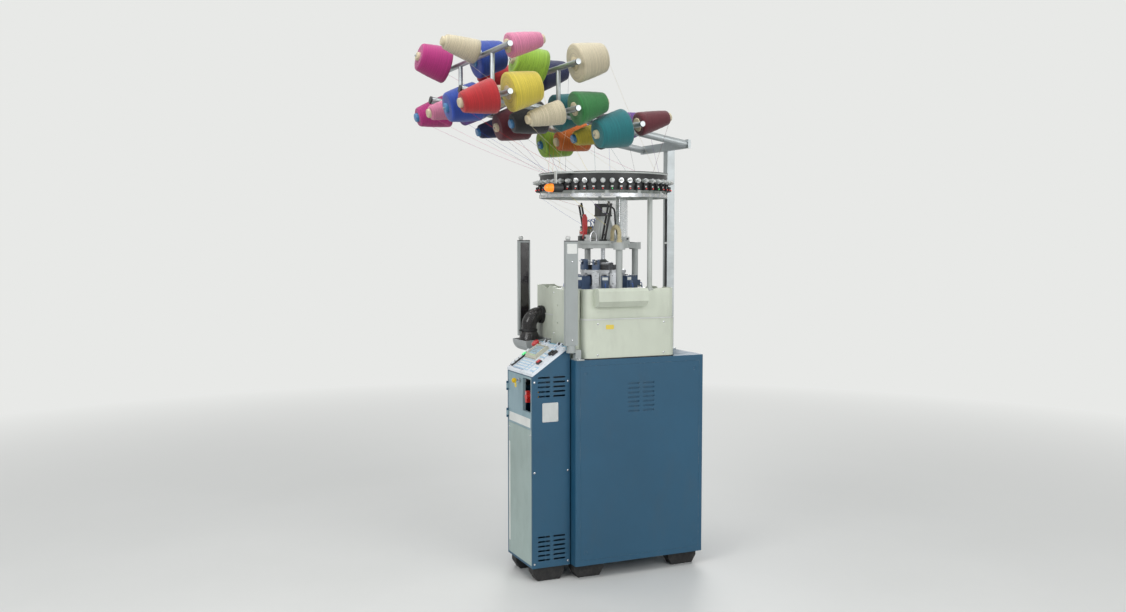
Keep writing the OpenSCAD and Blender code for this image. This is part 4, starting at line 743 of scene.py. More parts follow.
# %% Hang the cones by colour
THREADS = {
    "royal_blue": (36, 74, 176), "violet": (112, 60, 158), "magenta": (196, 44, 130),
    "pink": (232, 138, 172), "natural": (226, 214, 182), "lemon": (236, 214, 74),
    "orange": (232, 118, 36), "scarlet": (196, 34, 40), "maroon": (104, 26, 40),
    "charcoal": (44, 44, 48), "navy": (26, 36, 84), "teal": (22, 122, 128),
    "leaf_green": (50, 136, 66), "lime": (160, 204, 62),
}
LAYOUT = [
    "violet", "magenta", "royal_blue", "pink", "natural", "royal_blue", "lemon", "scarlet",
    "orange", "navy", "natural", "maroon", "teal", "charcoal", "leaf_green", "natural",
    "royal_blue", "lime", "charcoal", "orange", "violet", "lemon", "maroon", "teal",
    "magenta", "royal_blue", "natural", "pink", "scarlet", "navy", "lime", "natural",
]
moulded("paper_core", (202, 190, 160), 0.7, 500.0, 0.1, bump=0.25)
moulded("plastic_core", (60, 120, 168), 0.36, 700.0, 0.1)

copies = {name: [] for name in [*THREADS, "paper_core", "plastic_core"]}
for index, (pin, color) in enumerate(zip(pins, LAYOUT)):
    kind = cone_kind(*pin)
    spot = pin_matrix(*pin) @ Matrix.Rotation(index * 2.4, 4, "Z")
    copies[color].append(placed_copy(bodies[kind], spot))
    core = "plastic_core" if index % 4 == 1 else "paper_core"
    copies[core].append(placed_copy(cores[kind], spot))
cone_pieces = []
for name, pieces in copies.items():
    if name in THREADS:
        yarn(f"{name}_thread", THREADS[name])
        cone_pieces.append(freeze(merged(pieces), f"cones_{name}", f"{name}_thread"))
    else:
        cone_pieces.append(freeze(merged(pieces), f"{name}s", name))
for piece in bodies + cores:
    bpy.data.objects.remove(piece)
for piece in cone_pieces[:7]:
    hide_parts("cones_light")
for piece in cone_pieces[7:]:
    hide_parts("cones_dark")
print("cone pieces:", len(cone_pieces))

# %% [markdown]
# ## Yarn units on the feeder ring
# Forty-eight yarn units stand round the apron. The CAD holds each ribbed
# cylinder and sensor box. Each unit here gets its white end button, a blank
# label in the box's groove, a signal lamp and a ceramic eyelet in the flat bar
# below. One of each is modelled and copied round the ring.

# %% Ring places
AXIS_Y = 0.229
AXIS = Vector((0, AXIS_Y, 0))
RING_R, TENSION_Z, SENSOR_Z, BAR_Z = 0.300, 1.804, 1.772, 1.740
EYELET_IN, BAR_OUT = 0.034, 0.0042
UNIT_ANGLES = [math.radians((k + 0.5) * 7.5) for k in range(48)]
SIDEWAYS = Matrix.Rotation(math.pi / 2, 4, "Y")


def around(angles, radius, z, turn=Matrix.Identity(4)):
    """Matrices that put +X outwards and +Z up at places round the knitting axis."""
    return [Matrix.Translation(AXIS) @ Matrix.Rotation(angle, 4, "Z") @ shift(radius, 0, z) @ turn
            for angle in angles]


def on_units(pattern, name, finish_name, out, z, turn=Matrix.Identity(4)):
    """A pattern copied to every yarn unit, a little out from the apron."""
    freeze(spread(pattern, around(UNIT_ANGLES, RING_R + out, z, turn)), name, finish_name)


# %% End buttons, labels and lamps
button = turned([(0.0062, 0.0), (0.0064, 0.0035), (0.0052, 0.0052), (0.0022, 0.0058)], 14)
on_units(button, "yarn_unit_buttons", "white_plastic", 0.0290, TENSION_Z, SIDEWAYS)
label = slab((0.0008, 0.0116, 0.0066), round_edge=0.0003, segments=1)
on_units(label, "yarn_unit_labels", "blank_label", 0.0178, SENSOR_Z + 0.0055)
lamp_spots = around(UNIT_ANGLES, RING_R + 0.0222, SENSOR_Z - 0.004, SIDEWAYS)
for color, is_green in (("green", True), ("red", False)):
    lamp = turned([(0.0021, 0.0), (0.0021, 0.0016), (0.0014, 0.0026), (0.0005, 0.0029)], 10)
    spots = [spot for k, spot in enumerate(lamp_spots) if (k % 7 == 3) == is_green]
    freeze(spread(lamp, spots), f"yarn_unit_{color}_lamps", f"{color}_lamp")

# %% Brake discs and eyelets
# A disc pair brakes the thread in front of the cylinder.
disc = turned([(0.0030, 0.0), (0.0108, 0.0006), (0.0114, 0.0013), (0.0108, 0.0019),
               (0.0032, 0.0022)], 18)
on_units(disc, "thread_brake_discs", "polished_steel", 0.0190, TENSION_Z, SIDEWAYS)


def eyelet(radius, thick):
    """A ceramic ring that a thread runs through."""
    return torus(radius, thick, sides=14, minor=6, soft=35)


moulded("white_ceramic", (232, 230, 222), 0.12, 900.0, 0.04, bump=0.02, coat=(0.5, 0.08))
on_units(eyelet(0.0052, 0.0013), "bar_eyelets", "white_ceramic", BAR_OUT, BAR_Z, SIDEWAYS)
on_units(eyelet(0.0058, 0.0014), "ring_top_eyelets", "white_ceramic", -EYELET_IN, 1.8463)

# %% Bands on the ring
# The bar under the units is ground steel, and the apron that carries them is
# black, so the pale cylinders stand out in front of it. Each finish sits on a
# thin band round the ring.
for name, finish_name, out, low, high in (
        ("bar_band", "ground_steel", 0.0036, BAR_Z - 0.0080, BAR_Z + 0.0080),
        ("apron_band", "black_plastic", 0.0006, 1.7612, 1.8368)):
    clear_selection()
    bpy.ops.mesh.primitive_cylinder_add(vertices=96, radius=RING_R + out, depth=high - low,
                                        end_fill_type="NOTHING",
                                        location=(0, AXIS_Y, (low + high) / 2))
    band = bpy.context.object
    applied(band, "SOLIDIFY", thickness=0.0007, offset=-1)
    outward(band)
    freeze(smooth(band, 30), name, finish_name)
print("yarn units dressed:", len(UNIT_ANGLES))

# %% [markdown]
# ## Yarn paths
# From each cone a thread runs down to an eyelet of the ring. It is thin and
# taut, so each is a straight tube with the least of a sag. The path is chosen
# in code: the nearest free eyelet to which a straight line clears every cone.

# %% Find a clear path for each thread
def gap_to_cone(start, end, pin, step=0.012):
    """The least distance from a line to the skin of one cone."""
    back = pin_matrix(*pin).inverted()
    base, nose, length = CONE_SIZES[cone_kind(*pin)]
    a, b = back @ start, back @ end
    count = max(2, int((b - a).length / step))
    least = 1.0
    for k in range(count + 1):
        spot = a.lerp(b, k / count)
        along, out = spot.z - PIN_FOOT, math.hypot(spot.x, spot.y)
        radius = base + (nose - base) * min(max(along / length, 0), 1)
        beyond = max(-along, along - length - CORE_OUT, 0)
        if beyond == 0 and out < radius:
            return 0.0
        least = min(least, math.hypot(max(out - radius, 0), beyond))
    return least


def on_ring(angle, radius, z):
    return AXIS + Vector((math.cos(angle) * radius, math.sin(angle) * radius, z))


def thread_paths(gap=0.012):
    """Start and end of each thread that finds a clear way."""
    free = {k: on_ring(a, RING_R - EYELET_IN, 1.8468) for k, a in enumerate(UNIT_ANGLES)}
    paths = []
    for index, pin in enumerate(pins):
        length = CONE_SIZES[cone_kind(*pin)][2]
        start = pin_matrix(*pin) @ Vector((0, 0, PIN_FOOT + length + CORE_OUT + 0.004))
        others = [p for p in pins if p != pin
                  and (pin_matrix(*p) @ Vector((0, 0, 0.1)) - start).length < 0.75]
        for k in sorted(free, key=lambda key: (free[key] - start).length):
            if all(gap_to_cone(start, free[k], p) > gap for p in others):
                paths.append((index, start, free.pop(k)))
                break
    return paths


paths = thread_paths()
print("threads with a clear way:", len(paths), "of", len(pins))

# %% Draw the threads
THREAD_D, STEPS = 0.0009, 14


def thread(name, start, end, color, spare=0.0008):
    """A taut thread as a thin tube, with the slight sag of its spare length."""
    sag = (end - start).length * math.sqrt(3 * spare / 8)
    points = [start.lerp(end, t) - Vector((0, 0, 4 * sag * t * (1 - t)))
              for t in (k / STEPS for k in range(STEPS + 1))]
    curve = bpy.data.curves.new(name, "CURVE")
    curve.dimensions = "3D"
    curve.bevel_depth = THREAD_D / 2
    curve.bevel_resolution = 1
    curve.use_fill_caps = True
    line = curve.splines.new("POLY")
    line.points.add(STEPS)
    for spot, point in zip(line.points, points):
        spot.co = (*point, 1)
    piece = bpy.data.objects.new(name, curve)
    scene.collection.objects.link(piece)
    strand = f"{color}_strand"
    if strand not in MADE:
        moulded(strand, THREADS[color], 0.8, 2500.0, 0.0, bump=0.1)
    curve.materials.append(MADE[strand])
    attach(piece, "root")
    length = sum((b - a).length for a, b in zip(points, points[1:]))
    return length


total = sum(thread(f"thread_{index + 1}", start, end, LAYOUT[index])
            for index, start, end in paths)
print("thread on show:", round(total, 2), "m")

# %% [markdown]
# ## Control panel
# The sloping lid is covered with a printed membrane. Its fields and raised key
# domes are thin plates that stand a few tenths of a millimetre proud. They are
# modelled flat, on the lid's own plane, and then tilted with it.

# %% The slope's own frame
CAB_X0, CAB_X1, CAB_Y = -0.050, 0.250, -0.241
SLOPE = shift(0, CAB_Y, 0.945) @ Matrix.Rotation(math.radians(34.5), 4, "X")
DISPLAY_X, DISPLAY_U = 0.004, 0.0838


def on_lid(pieces, name, finish_name):
    """Joins flat pieces, tilts them onto the lid and lets them ride on it."""
    piece = merged(pieces)
    piece.data.transform(SLOPE)
    return freeze(piece, name, finish_name, "lid")


def round_plane(width, depth, place, corner, segments):
    """A rectangle with round corners, left in edit mode with everything selected."""
    clear_selection()
    bpy.ops.mesh.primitive_plane_add(size=1, location=place)
    piece = bpy.context.object
    piece.scale = (width, depth, 1)
    bpy.ops.object.transform_apply(location=True, rotation=True, scale=True)
    edit_all()
    bpy.ops.mesh.bevel(offset=corner, segments=segments, affect="VERTICES")
    bpy.ops.mesh.select_all(action="SELECT")
    return piece


def flat_field(x0, x1, u0, u1, thick=0.0005, corner=0.003):
    """A thin plate with round corners, lying on the lid."""
    piece = round_plane(x1 - x0, u1 - u0, ((x0 + x1) / 2, (u0 + u1) / 2, 0), corner, 4)
    bpy.ops.mesh.extrude_region_move(TRANSFORM_OT_translate={"value": (0, 0, thick)})
    end_edit()
    return piece


def key_domes(x, u, columns, rows, size, pitch=(0.0196, 0.0156), corner=0.0028):
    """Rows of raised key domes, from the lower left one."""
    lower_left = [(x + c * pitch[0], u + r * pitch[1])
                  for r in range(rows) for c in range(columns)]
    return [flat_field(a, a + size[0], b, b + size[1], 0.0014, corner) for a, b in lower_left]


# %% Printed fields and key domes
moulded("printed_pale_blue", (158, 196, 222), 0.3, 1500.0, 0.05, bump=0.05)
moulded("printed_blue", (62, 118, 172), 0.3, 1500.0, 0.05, bump=0.05)
moulded("key_dome_white", (236, 239, 240), 0.28, 1500.0, 0.06, bump=0.05)

on_lid([flat_field(0.001, 0.128, 0.012, 0.0785), flat_field(0.135, 0.168, 0.012, 0.0785),
        flat_field(0.130, 0.186, 0.104, 0.184), flat_field(0.196, 0.240, 0.012, 0.046)],
       "membrane_fields", "printed_pale_blue")
on_lid([flat_field(0.001, 0.128, 0.0075, 0.0100), flat_field(0.130, 0.186, 0.187, 0.1895),
        flat_field(-0.037, -0.011, 0.141, 0.1435, corner=0.001)],
       "membrane_lines", "printed_blue")
domes = key_domes(0.0085, 0.0160, 6, 4, (0.0145, 0.0108))
domes += key_domes(0.1405, 0.0160, 1, 4, (0.0220, 0.0108))
domes += key_domes(0.1365, 0.1110, 2, 3, (0.0185, 0.0165), (0.0235, 0.0240), 0.0035)
domes += key_domes(0.2020, 0.0200, 1, 1, (0.0320, 0.0180), corner=0.0035)
bevelled(on_lid(domes, "membrane_keys", "key_dome_white"), 0.0004)
print("key domes:", len(domes))

# %% Display
# The window holds a dark panel that glows a little, behind a clear cover that
# clips into the housing. Four short bars on the front step are lit green.
WIN_X, WIN_U = DISPLAY_X + 0.059, DISPLAY_U + 0.047
on_lid([slab((0.0925, 0.0525, 0.0012), (WIN_X, WIN_U, 0.0117), 0.0004, 1)],
       "display_screen", "display_glow")
moulded("display_ink", (34, 44, 52), 0.3, 1500.0, 0.0, bump=0.02)
bars = [slab((length, 0.0042, 0.0004),
             (DISPLAY_X + 0.020 + length / 2, DISPLAY_U + 0.066 - k * 0.0105, 0.0124), 0.0001, 1)
        for k, length in enumerate((0.070, 0.058, 0.046, 0.070))]
on_lid(bars, "display_bars", "display_ink")
on_lid([slab((0.1000, 0.0600, 0.0016), (WIN_X, WIN_U, 0.0149))],
       "display_cover", "clear_cover")
frame_bars = [slab((0.106, 0.0045, 0.0042), (WIN_X, WIN_U + s * 0.0325, 0.0155), 0.001)
              for s in (-1, 1)]
frame_bars += [slab((0.0045, 0.0695, 0.0042), (WIN_X + s * 0.0528, WIN_U, 0.0155), 0.001)
               for s in (-1, 1)]
on_lid(frame_bars, "display_frame", "beige_plastic")
lamps = [slab((0.0136, 0.0046, 0.0018),
              (DISPLAY_X + 0.023 + k * 0.024, DISPLAY_U + 0.0140, 0.0137), 0.0004, 1)
         for k in range(4)]
on_lid(lamps, "display_green_bars", "green_lamp")

# %% Emergency stop skirt and lid screws
# A black skirt round the mushroom's foot, and a round screw near each corner.
skirt = turned([(0.0150, 0.0060), (0.0156, 0.0066), (0.0156, 0.0088), (0.0140, 0.0098)], 32,
               move=shift(-0.024, 0.168, 0))
on_lid([skirt], "emergency_stop_skirt", "black_plastic")
lid_screw = turned([(0.0034, 0.0), (0.0034, 0.0006), (0.0030, 0.0012), (0.0018, 0.0015)], 14)
screw_spots = [(-0.043, 0.008), (0.243, 0.008), (-0.043, 0.190), (0.243, 0.190), (0.189, 0.100)]
on_lid([spread(lid_screw, [shift(x, u, 0) for x, u in screw_spots])],
       "lid_screws", "polished_steel")

# %% [markdown]
# ## Cabinet
# The side carries a blank data plate with four rivets. The front has a blank
# strip and band where a maker would put words, round screws, a key with a
# plastic bow, and a yellow plate behind the main switch.

# %% Plates, strips and rivets
def wall_plate(x, y0, y1, z0, z1, thick=0.0008, corner=0.004, side=1):
    """A thin plate with round corners on a wall that faces along X."""
    piece = flat_field(y0, y1, z0, z1, thick, corner)
    turn = Matrix(((0, 0, side, x), (1, 0, 0, 0), (0, 1, 0, 0), (0, 0, 0, 1)))
    piece.data.transform(turn)
    if turn.determinant() < 0:
        piece.data.flip_normals()
    return piece


def front_plate(y, x0, x1, z0, z1, thick=0.0008, corner=0.003):
    """A thin plate with round corners on a wall that faces the aisle, along -Y."""
    piece = flat_field(x0, x1, z0, z1, thick, corner)
    piece.data.transform(Matrix(((1, 0, 0, 0), (0, 0, -1, y), (0, 1, 0, 0), (0, 0, 0, 1))))
    return piece


steel("data_plate_foil", (206, 210, 210), (20, 600, 20), 0.34, 0.1, bump=0.03)
freeze(wall_plate(CAB_X1, -0.192, -0.115, 0.725, 0.811), "blank_data_plate", "data_plate_foil")
rivet = turned([(0.0022, 0.0), (0.0022, 0.0005), (0.0012, 0.0011)], 10)
freeze(spread(rivet, [shift(CAB_X1 + 0.0007, y, z) @ SIDEWAYS
                      for y in (-0.187, -0.120) for z in (0.730, 0.806)]),
       "data_plate_rivets", "polished_steel")
freeze(front_plate(CAB_Y, -0.034, -0.019, 0.130, 0.600), "blank_front_strip", "blank_label")
freeze(front_plate(CAB_Y, -0.028, 0.228, 0.700, 0.740), "blank_door_band", "blank_label", "door")
freeze(front_plate(CAB_Y, 0.040, 0.062, 0.862, 0.884), "blank_door_tag", "blank_yellow_tag",
       "door")

# %% Screws
AISLE = Matrix.Rotation(math.pi / 2, 4, "X")


def cabinet_screws(name, spots):
    """Round-headed screws at several places."""
    head = turned([(0.0052, 0.0), (0.0052, 0.0008), (0.0046, 0.0020), (0.0030, 0.0026)], 18)
    freeze(spread(head, spots), name, "polished_steel")


cabinet_screws("front_panel_screws", [shift(x, CAB_Y + 0.0004, z) @ AISLE
                                      for x in (-0.0280, 0.2274) for z in (0.0993, 0.6657)])
cabinet_screws("cabinet_side_screws", [shift(CAB_X1 - 0.0002, y, z) @ SIDEWAYS
                                       for y in (-0.231, -0.067) for z in (0.085, 0.50, 0.905)])

# %% Key
# Blade, shoulder and a round plastic bow. It stays in the lock and turns with it.
KEY_X, KEY_Z = 0.105, 0.901
blade = slab((0.0015, 0.0150, 0.0078), (KEY_X, -0.2515, KEY_Z), 0.0003, 1)
shoulder = slab((0.0034, 0.0040, 0.0110), (KEY_X, -0.2585, KEY_Z), 0.0008)
freeze(merged([blade, shoulder]), "door_key_blade", "polished_steel", "lock")
bow = turned([(0.0060, -0.0026), (0.0105, -0.0024), (0.0115, -0.0010), (0.0115, 0.0010),
              (0.0105, 0.0024), (0.0060, 0.0026)], 28,
             move=shift(KEY_X, -0.2700, KEY_Z) @ SIDEWAYS)
freeze(bow, "door_key_bow", "signal_yellow_plastic", "lock")

# %% Main switch trim
freeze(front_plate(-0.1970, 0.1625, 0.2178, 0.803, 0.869, thick=0.0010),
       "main_switch_plate", "signal_yellow_plastic")
freeze(slab((0.0030, 0.0012, 0.0140), (0.19015, -0.2472, 0.852), 0.0004, 1),
       "main_switch_pointer", "white_plastic", "main_switch")
print("cabinet dressed")

# %% [markdown]
# ## Body, tray and guards
# The cream covers meet at a white bead and stand on a black seal. Bead and seal
# are one rounded outline each: a bevelled plane whose rim is drawn up into a band.

# %% Bands round the body
def outline_band(size, corner, centre, high, thick):
    """A band round a rectangle with round corners."""
    piece = round_plane(*size, centre, corner, 9)
    bpy.ops.mesh.delete(type="ONLY_FACE")
    bpy.ops.mesh.select_all(action="SELECT")
    bpy.ops.mesh.extrude_edges_move(TRANSFORM_OT_translate={"value": (0, 0, high)})
    bpy.ops.object.mode_set(mode="OBJECT")
    applied(piece, "SOLIDIFY", thickness=thick, offset=0)
    outward(piece)
    return smooth(piece, 30)


freeze(outline_band((0.5915, 0.4675), 0.036, (0, AXIS_Y, 1.1775), 0.0055, 0.0040),
       "cover_joint_bead", "white_plastic")
freeze(outline_band((0.5912, 0.4672), 0.036, (0, AXIS_Y, 1.0003), 0.0045, 0.0040),
       "cover_base_seal", "black_rubber")

# %% Screws and blank tags on the covers
COVER_X, COVER_FRONT, COVER_BACK = 0.2950, -0.0280, 0.4620
cover_spots = [facing((s * COVER_X, y, z), (s, 0, 0)) for s in (-1, 1)
               for y in (0.060, 0.398) for z in (1.020, 1.160)]
cover_spots += [facing((x, COVER_FRONT, z), (0, -1, 0)) for x in (0.004, 0.232)
                for z in (1.100, 1.290)]
cover_spots += [facing((x, COVER_BACK, z), (0, 1, 0)) for x in (-0.240, 0.240)
                for z in (1.020, 1.160)]
cover_screw = turned([(0.0046, 0.0), (0.0046, 0.0009), (0.0036, 0.0022), (0.0018, 0.0024)], 16)
freeze(spread(cover_screw, cover_spots), "cover_screws", "polished_steel")
tags = [front_plate(COVER_FRONT, 0.190, 0.222, 1.232, 1.246),
        wall_plate(COVER_X, 0.100, 0.140, 1.135, 1.155)]
freeze(merged(tags), "blank_cover_tags", "blank_yellow_tag")

# %% Tray edges
# The folded sheet ends in a rolled bead, so its rim is thicker than its wall.
TRAY_X0, TRAY_X1, TRAY_FRONT, TRAY_SLOPE = -0.258, -0.086, -0.134, math.atan2(0.010, 0.130)
beads = [slab((0.0046, 0.1290, 0.0042), round_edge=0.0018, segments=3) for _ in range(2)]
for bead, x in zip(beads, (TRAY_X0 + 0.0015, TRAY_X1 - 0.0015)):
    bead.data.transform(shift(x, -0.0690, 1.0590) @ Matrix.Rotation(TRAY_SLOPE, 4, "X"))
beads.append(slab((TRAY_X1 - TRAY_X0, 0.0046, 0.0042),
                  ((TRAY_X0 + TRAY_X1) / 2, TRAY_FRONT + 0.0015, 1.0540), 0.0018, 3))
freeze(merged(beads), "tray_rim_bead", "tray_grey_paint")

# %% Guard posts
# Each post has a black cap, a pale knob, a blank label, two screws and a gasket
# along its window. All of it rides on the post and swings with it.
POST_X, POST_Y, POST_Z0, POST_Z1, POST_HALF = 0.280, -0.066, 1.067, 1.530, 0.012
KNOB_PROFILE = [(0.0086, 0.0), (0.0086, 0.0046), (0.0112, 0.0066), (0.0118, 0.0090),
                (0.0118, 0.0140), (0.0110, 0.0168), (0.0086, 0.0194), (0.0050, 0.0206)]
for side, body in ((-1, "left_post"), (1, "right_post")):
    x, inner, outer = [side * (POST_X + out) for out in (0, -POST_HALF, POST_HALF)]
    freeze(slab((0.0236, 0.0590, 0.0040), (x, POST_Y, POST_Z1 + 0.0023), 0.0012, 3),
           f"{body}_cap", "black_plastic", body)
    freeze(turned(KNOB_PROFILE, 28, move=shift(x, POST_Y - 0.015, POST_Z1 + 0.0040)),
           f"{body}_knob", "white_plastic", body)
    freeze(wall_plate(outer, POST_Y - 0.024, POST_Y + 0.024, 1.476, 1.520, side=side),
           f"{body}_blank_label", "blank_label", body)
    head = turned([(0.0040, 0.0), (0.0040, 0.0008), (0.0030, 0.0024), (0.0014, 0.0028)], 16)
    freeze(spread(head, [facing((outer - side * 0.0004, POST_Y, POST_Z0 + up), (side, 0, 0))
                         for up in (0.024, 0.373)]),
           f"{body}_screws", "polished_steel", body)
    gasket = [slab((0.0014, 0.0024, 0.4440), (inner, POST_Y + s * 0.0204, 1.2985))
              for s in (-1, 1)]
    gasket += [slab((0.0014, 0.0430, 0.0024), (inner, POST_Y, z)) for z in (1.0764, 1.5206)]
    freeze(merged(gasket), f"{body}_window_gasket", "black_rubber", body)

lens = turned([(0.0062, 0.0), (0.0062, 0.0020), (0.0050, 0.0048), (0.0026, 0.0062)], 20,
              move=facing((-POST_X, POST_Y - 0.0190, 1.049), (0, -1, 0)))
freeze(lens, "pivot_green_lens", "green_lamp")
bolt = turned([(0.0054, 0.0), (0.0054, 0.0040), (0.0048, 0.0046)], 6, soft=0)
freeze(spread(bolt, [shift(s * POST_X + dx, -0.033, 1.0060)
                     for s in (-1, 1) for dx in (-0.020, 0.004 + 0.012 * s)]),
       "bracket_bolts", "polished_steel")
print("guards dressed")

# %% [markdown]
# ## Knitting head
# The bed is rimmed with a bright ring inside a black seal. Cap screws hold the
# cam box, the bridge and the dial motor, and each actuator's plug has a short
# blue cable that goes down through a grommet in the bed.

# %% Rings and screws of the bed
BED_Z, CAM_TOP, BRIDGE_TOP, MOTOR_Z = 1.306, 1.395, 1.531, 1.647
freeze(torus(0.2075, 0.0026, (0, AXIS_Y, 1.2965)), "bed_seal", "black_rubber")
freeze(torus(0.2010, 0.0020, (0, AXIS_Y, BED_Z + 0.0003)), "bed_bright_ring", "polished_steel")


def cap_screws(name, radius, high, spots):
    """Socket cap screws: a turned head whose top is set in to make the socket."""
    head = turned([(radius, 0.0), (radius, high * 0.9), (radius * 0.92, high),
                   (radius * 0.52, high), (radius * 0.50, high * 0.45)], 14, soft=30)
    freeze(spread(head, spots), name, "polished_steel")


def steps(count, start=0.0):
    """Angles that share a turn evenly, from a start in degrees."""
    return [math.radians(start + k * 360 / count) for k in range(count)]


cap_screws("bed_screws", 0.0040, 0.0040, around(steps(12, 15), 0.191, BED_Z - 0.0030))
cap_screws("cam_box_screws", 0.0034, 0.0032, [
    spot for angle in steps(8) for z in (BED_Z + 0.024, BED_Z + 0.064)
    for spot in around([angle], 0.1058, z, SIDEWAYS)])
cap_screws("cam_ring_screws", 0.0028, 0.0028, around(steps(8, 11), 0.1030, CAM_TOP - 0.0002))
cap_screws("cone_foot_screws", 0.0032, 0.0100, around(steps(4), 0.066, BRIDGE_TOP + 0.0002))
cap_screws("dial_motor_screws", 0.0036, 0.0034, [
    shift(sx * 0.0265, AXIS_Y + sy * 0.0265, MOTOR_Z + 0.0600)
    for sx in (-1, 1) for sy in (-1, 1)])
freeze(wall_plate(0.0310, AXIS_Y - 0.019, AXIS_Y + 0.019, 1.664, 1.690), "blank_motor_plate",
       "blank_label")

# %% Actuators: cables, grommets, plates and bars
moulded("blue_cable", (52, 92, 168), 0.4, 600.0, 0.12)
moulded("black_cable", (30, 30, 32), 0.44, 600.0, 0.12)


def tube(points, radius, sides=8):
    """A round tube along a smooth line through the points."""
    clear_selection()
    bpy.ops.curve.primitive_nurbs_path_add()
    path = bpy.context.object
    path.data.splines.clear()
    line = path.data.splines.new("NURBS")
    line.points.add(len(points) - 1)
    for spot, point in zip(line.points, points):
        spot.co = (*point, 1)
    line.order_u, line.use_endpoint_u, line.resolution_u = 3, True, 5
    path.data.bevel_depth = radius
    path.data.bevel_resolution = max(0, sides // 4 - 1)
    path.data.use_fill_caps = True
    path.location = (0, 0, 0)
    bpy.ops.object.convert(target="MESH")
    piece = bpy.context.object
    outward(piece)
    return smooth(piece, 60)


def on_actuators(pattern, name, finish_name, radius, z, sides=(0,)):
    """A pattern copied to the eight actuators, beside the middle by a distance."""
    spots = [spot @ shift(0, side, 0) for spot in around(steps(8, 22.5), radius, z)
             for side in sides]
    freeze(spread(pattern, spots), name, finish_name)


cable = tube([(0, 0, 0), (0.0030, 0, 0), (0.0068, 0, -0.0010), (0.0082, 0, -0.0080),
              (0.0086, 0, -0.0180), (0.0086, 0, -0.0268)], 0.0021)
on_actuators(cable, "actuator_cables", "blue_cable", 0.1786, 1.333)
grommet = turned([(0.0042, 0.0), (0.0042, 0.0014), (0.0026, 0.0024)], 16)
on_actuators(grommet, "cable_grommets", "black_rubber", 0.1872, BED_Z)
plate = slab((0.0007, 0.0270, 0.0130), round_edge=0.0003, segments=1)
on_actuators(plate, "blank_actuator_plates", "blank_label", 0.1649, BED_Z + 0.0500)
bar = slab((0.0300, 0.0050, 0.0022), round_edge=0.0006)
on_actuators(bar, "actuator_bars", "polished_steel", 0.1408, BED_Z + 0.0626, (-0.0100, 0.0100))

# %% Valve block: coil plugs, brass fittings and air lines
VALVE_X, VALVE_Z = -0.172, 1.525
FITTING_X = VALVE_X + 0.013
valve_ys = [AXIS_Y + (k - 2) * 0.019 + 0.0095 for k in range(4)]
fitting = turned([(0.0066, 0.0), (0.0066, 0.0040), (0.0050, 0.0044), (0.0050, 0.0080),
                  (0.0036, 0.0086), (0.0036, 0.0110)], 12, soft=0)
freeze(spread(fitting, [shift(FITTING_X, y, VALVE_Z + 0.0635) for y in valve_ys]),
       "brass_fittings", "brass_fittings")
coil = slab((0.0150, 0.0120, 0.0080), round_edge=0.0012)
freeze(spread(coil, [shift(VALVE_X - 0.0070, y, VALVE_Z + 0.0730) for y in valve_ys]),
       "valve_coil_plugs", "black_plastic")
air_lines = []
for k, y in enumerate(valve_ys):
    foot_x, foot_y, foot_z = -0.078 + 0.004 * k, y * 0.55 + AXIS_Y * 0.45, BRIDGE_TOP + 0.0005
    top = VALVE_Z + 0.105 + 0.004 * k
    air_lines.append(tube([
        (FITTING_X, y, VALVE_Z + 0.074), (FITTING_X, y, VALVE_Z + 0.086),
        (FITTING_X + 0.006, y, top), (foot_x - 0.030, foot_y, top - 0.004),
        (foot_x - 0.004, foot_y, top - 0.030), (foot_x, foot_y, foot_z + 0.025),
        (foot_x, foot_y, foot_z)], 0.0020))
freeze(merged(air_lines), "air_lines", "blue_cable")

# %% Boxes and knobs on the bridge
KNOB_X, KNOB_Y = -0.056, 0.142
freeze(slab((0.030, 0.026, 0.024), (KNOB_X, KNOB_Y, BRIDGE_TOP + 0.0120), 0.0020, 3),
       "black_knob_box", "black_plastic")
freeze(turned([(0.0105, 0.0), (0.0105, 0.0060), (0.0090, 0.0080)], 24,
              move=shift(KNOB_X, KNOB_Y, BRIDGE_TOP + 0.0240)),
       "white_knob_base", "white_plastic")
freeze(turned([(0.0060, 0.0), (0.0060, 0.0030), (0.0095, 0.0050), (0.0100, 0.0110),
               (0.0086, 0.0140), (0.0040, 0.0152)], 24,
              move=shift(KNOB_X, KNOB_Y, BRIDGE_TOP + 0.0318)),
       "red_adjusting_knob", "signal_red_plastic")
white_boxes = [slab((0.026, 0.024, 0.030), (0.034, 0.133, BRIDGE_TOP + 0.0150), 0.0020, 3),
               slab((0.034, 0.026, 0.020), (0.054, 0.322, BRIDGE_TOP + 0.0100), 0.0020, 3)]
freeze(merged(white_boxes), "white_sensor_boxes", "white_plastic")
glands = [facing((0.034, 0.1210, BRIDGE_TOP + 0.016), (0, -1, 0)),
          facing((0.0712, 0.322, BRIDGE_TOP + 0.010), (1, 0, 0))]
gland = turned([(0.0050, 0.0), (0.0050, 0.0050), (0.0036, 0.0064), (0.0036, 0.0100)], 6, soft=0)
freeze(spread(gland, glands), "cable_glands", "black_plastic")

# %% Loop handle and the shield's edge rods
HANDLE_X = 0.068
handle = tube([(HANDLE_X, y, z) for y, z in (
    (0.130, 1.529), (0.130, 1.548), (0.134, 1.570), (0.146, 1.578), (0.158, 1.570),
    (0.162, 1.548), (0.162, 1.529))], 0.0030, 12)
freeze(handle, "loop_handle", "polished_steel")
rod = tube([(0, 0, z) for z in (0, 0.05, 0.1, 0.15, 0.1955)], 0.0024, 8)
edge_x = math.sqrt(0.1165 ** 2 - 0.030 ** 2)
rods = [shift(s * edge_x, AXIS_Y + 0.030, BRIDGE_TOP + 0.0002) for s in (-1, 1)]
freeze(spread(rod, rods), "shield_edge_rods", "polished_steel")
print("head dressed")

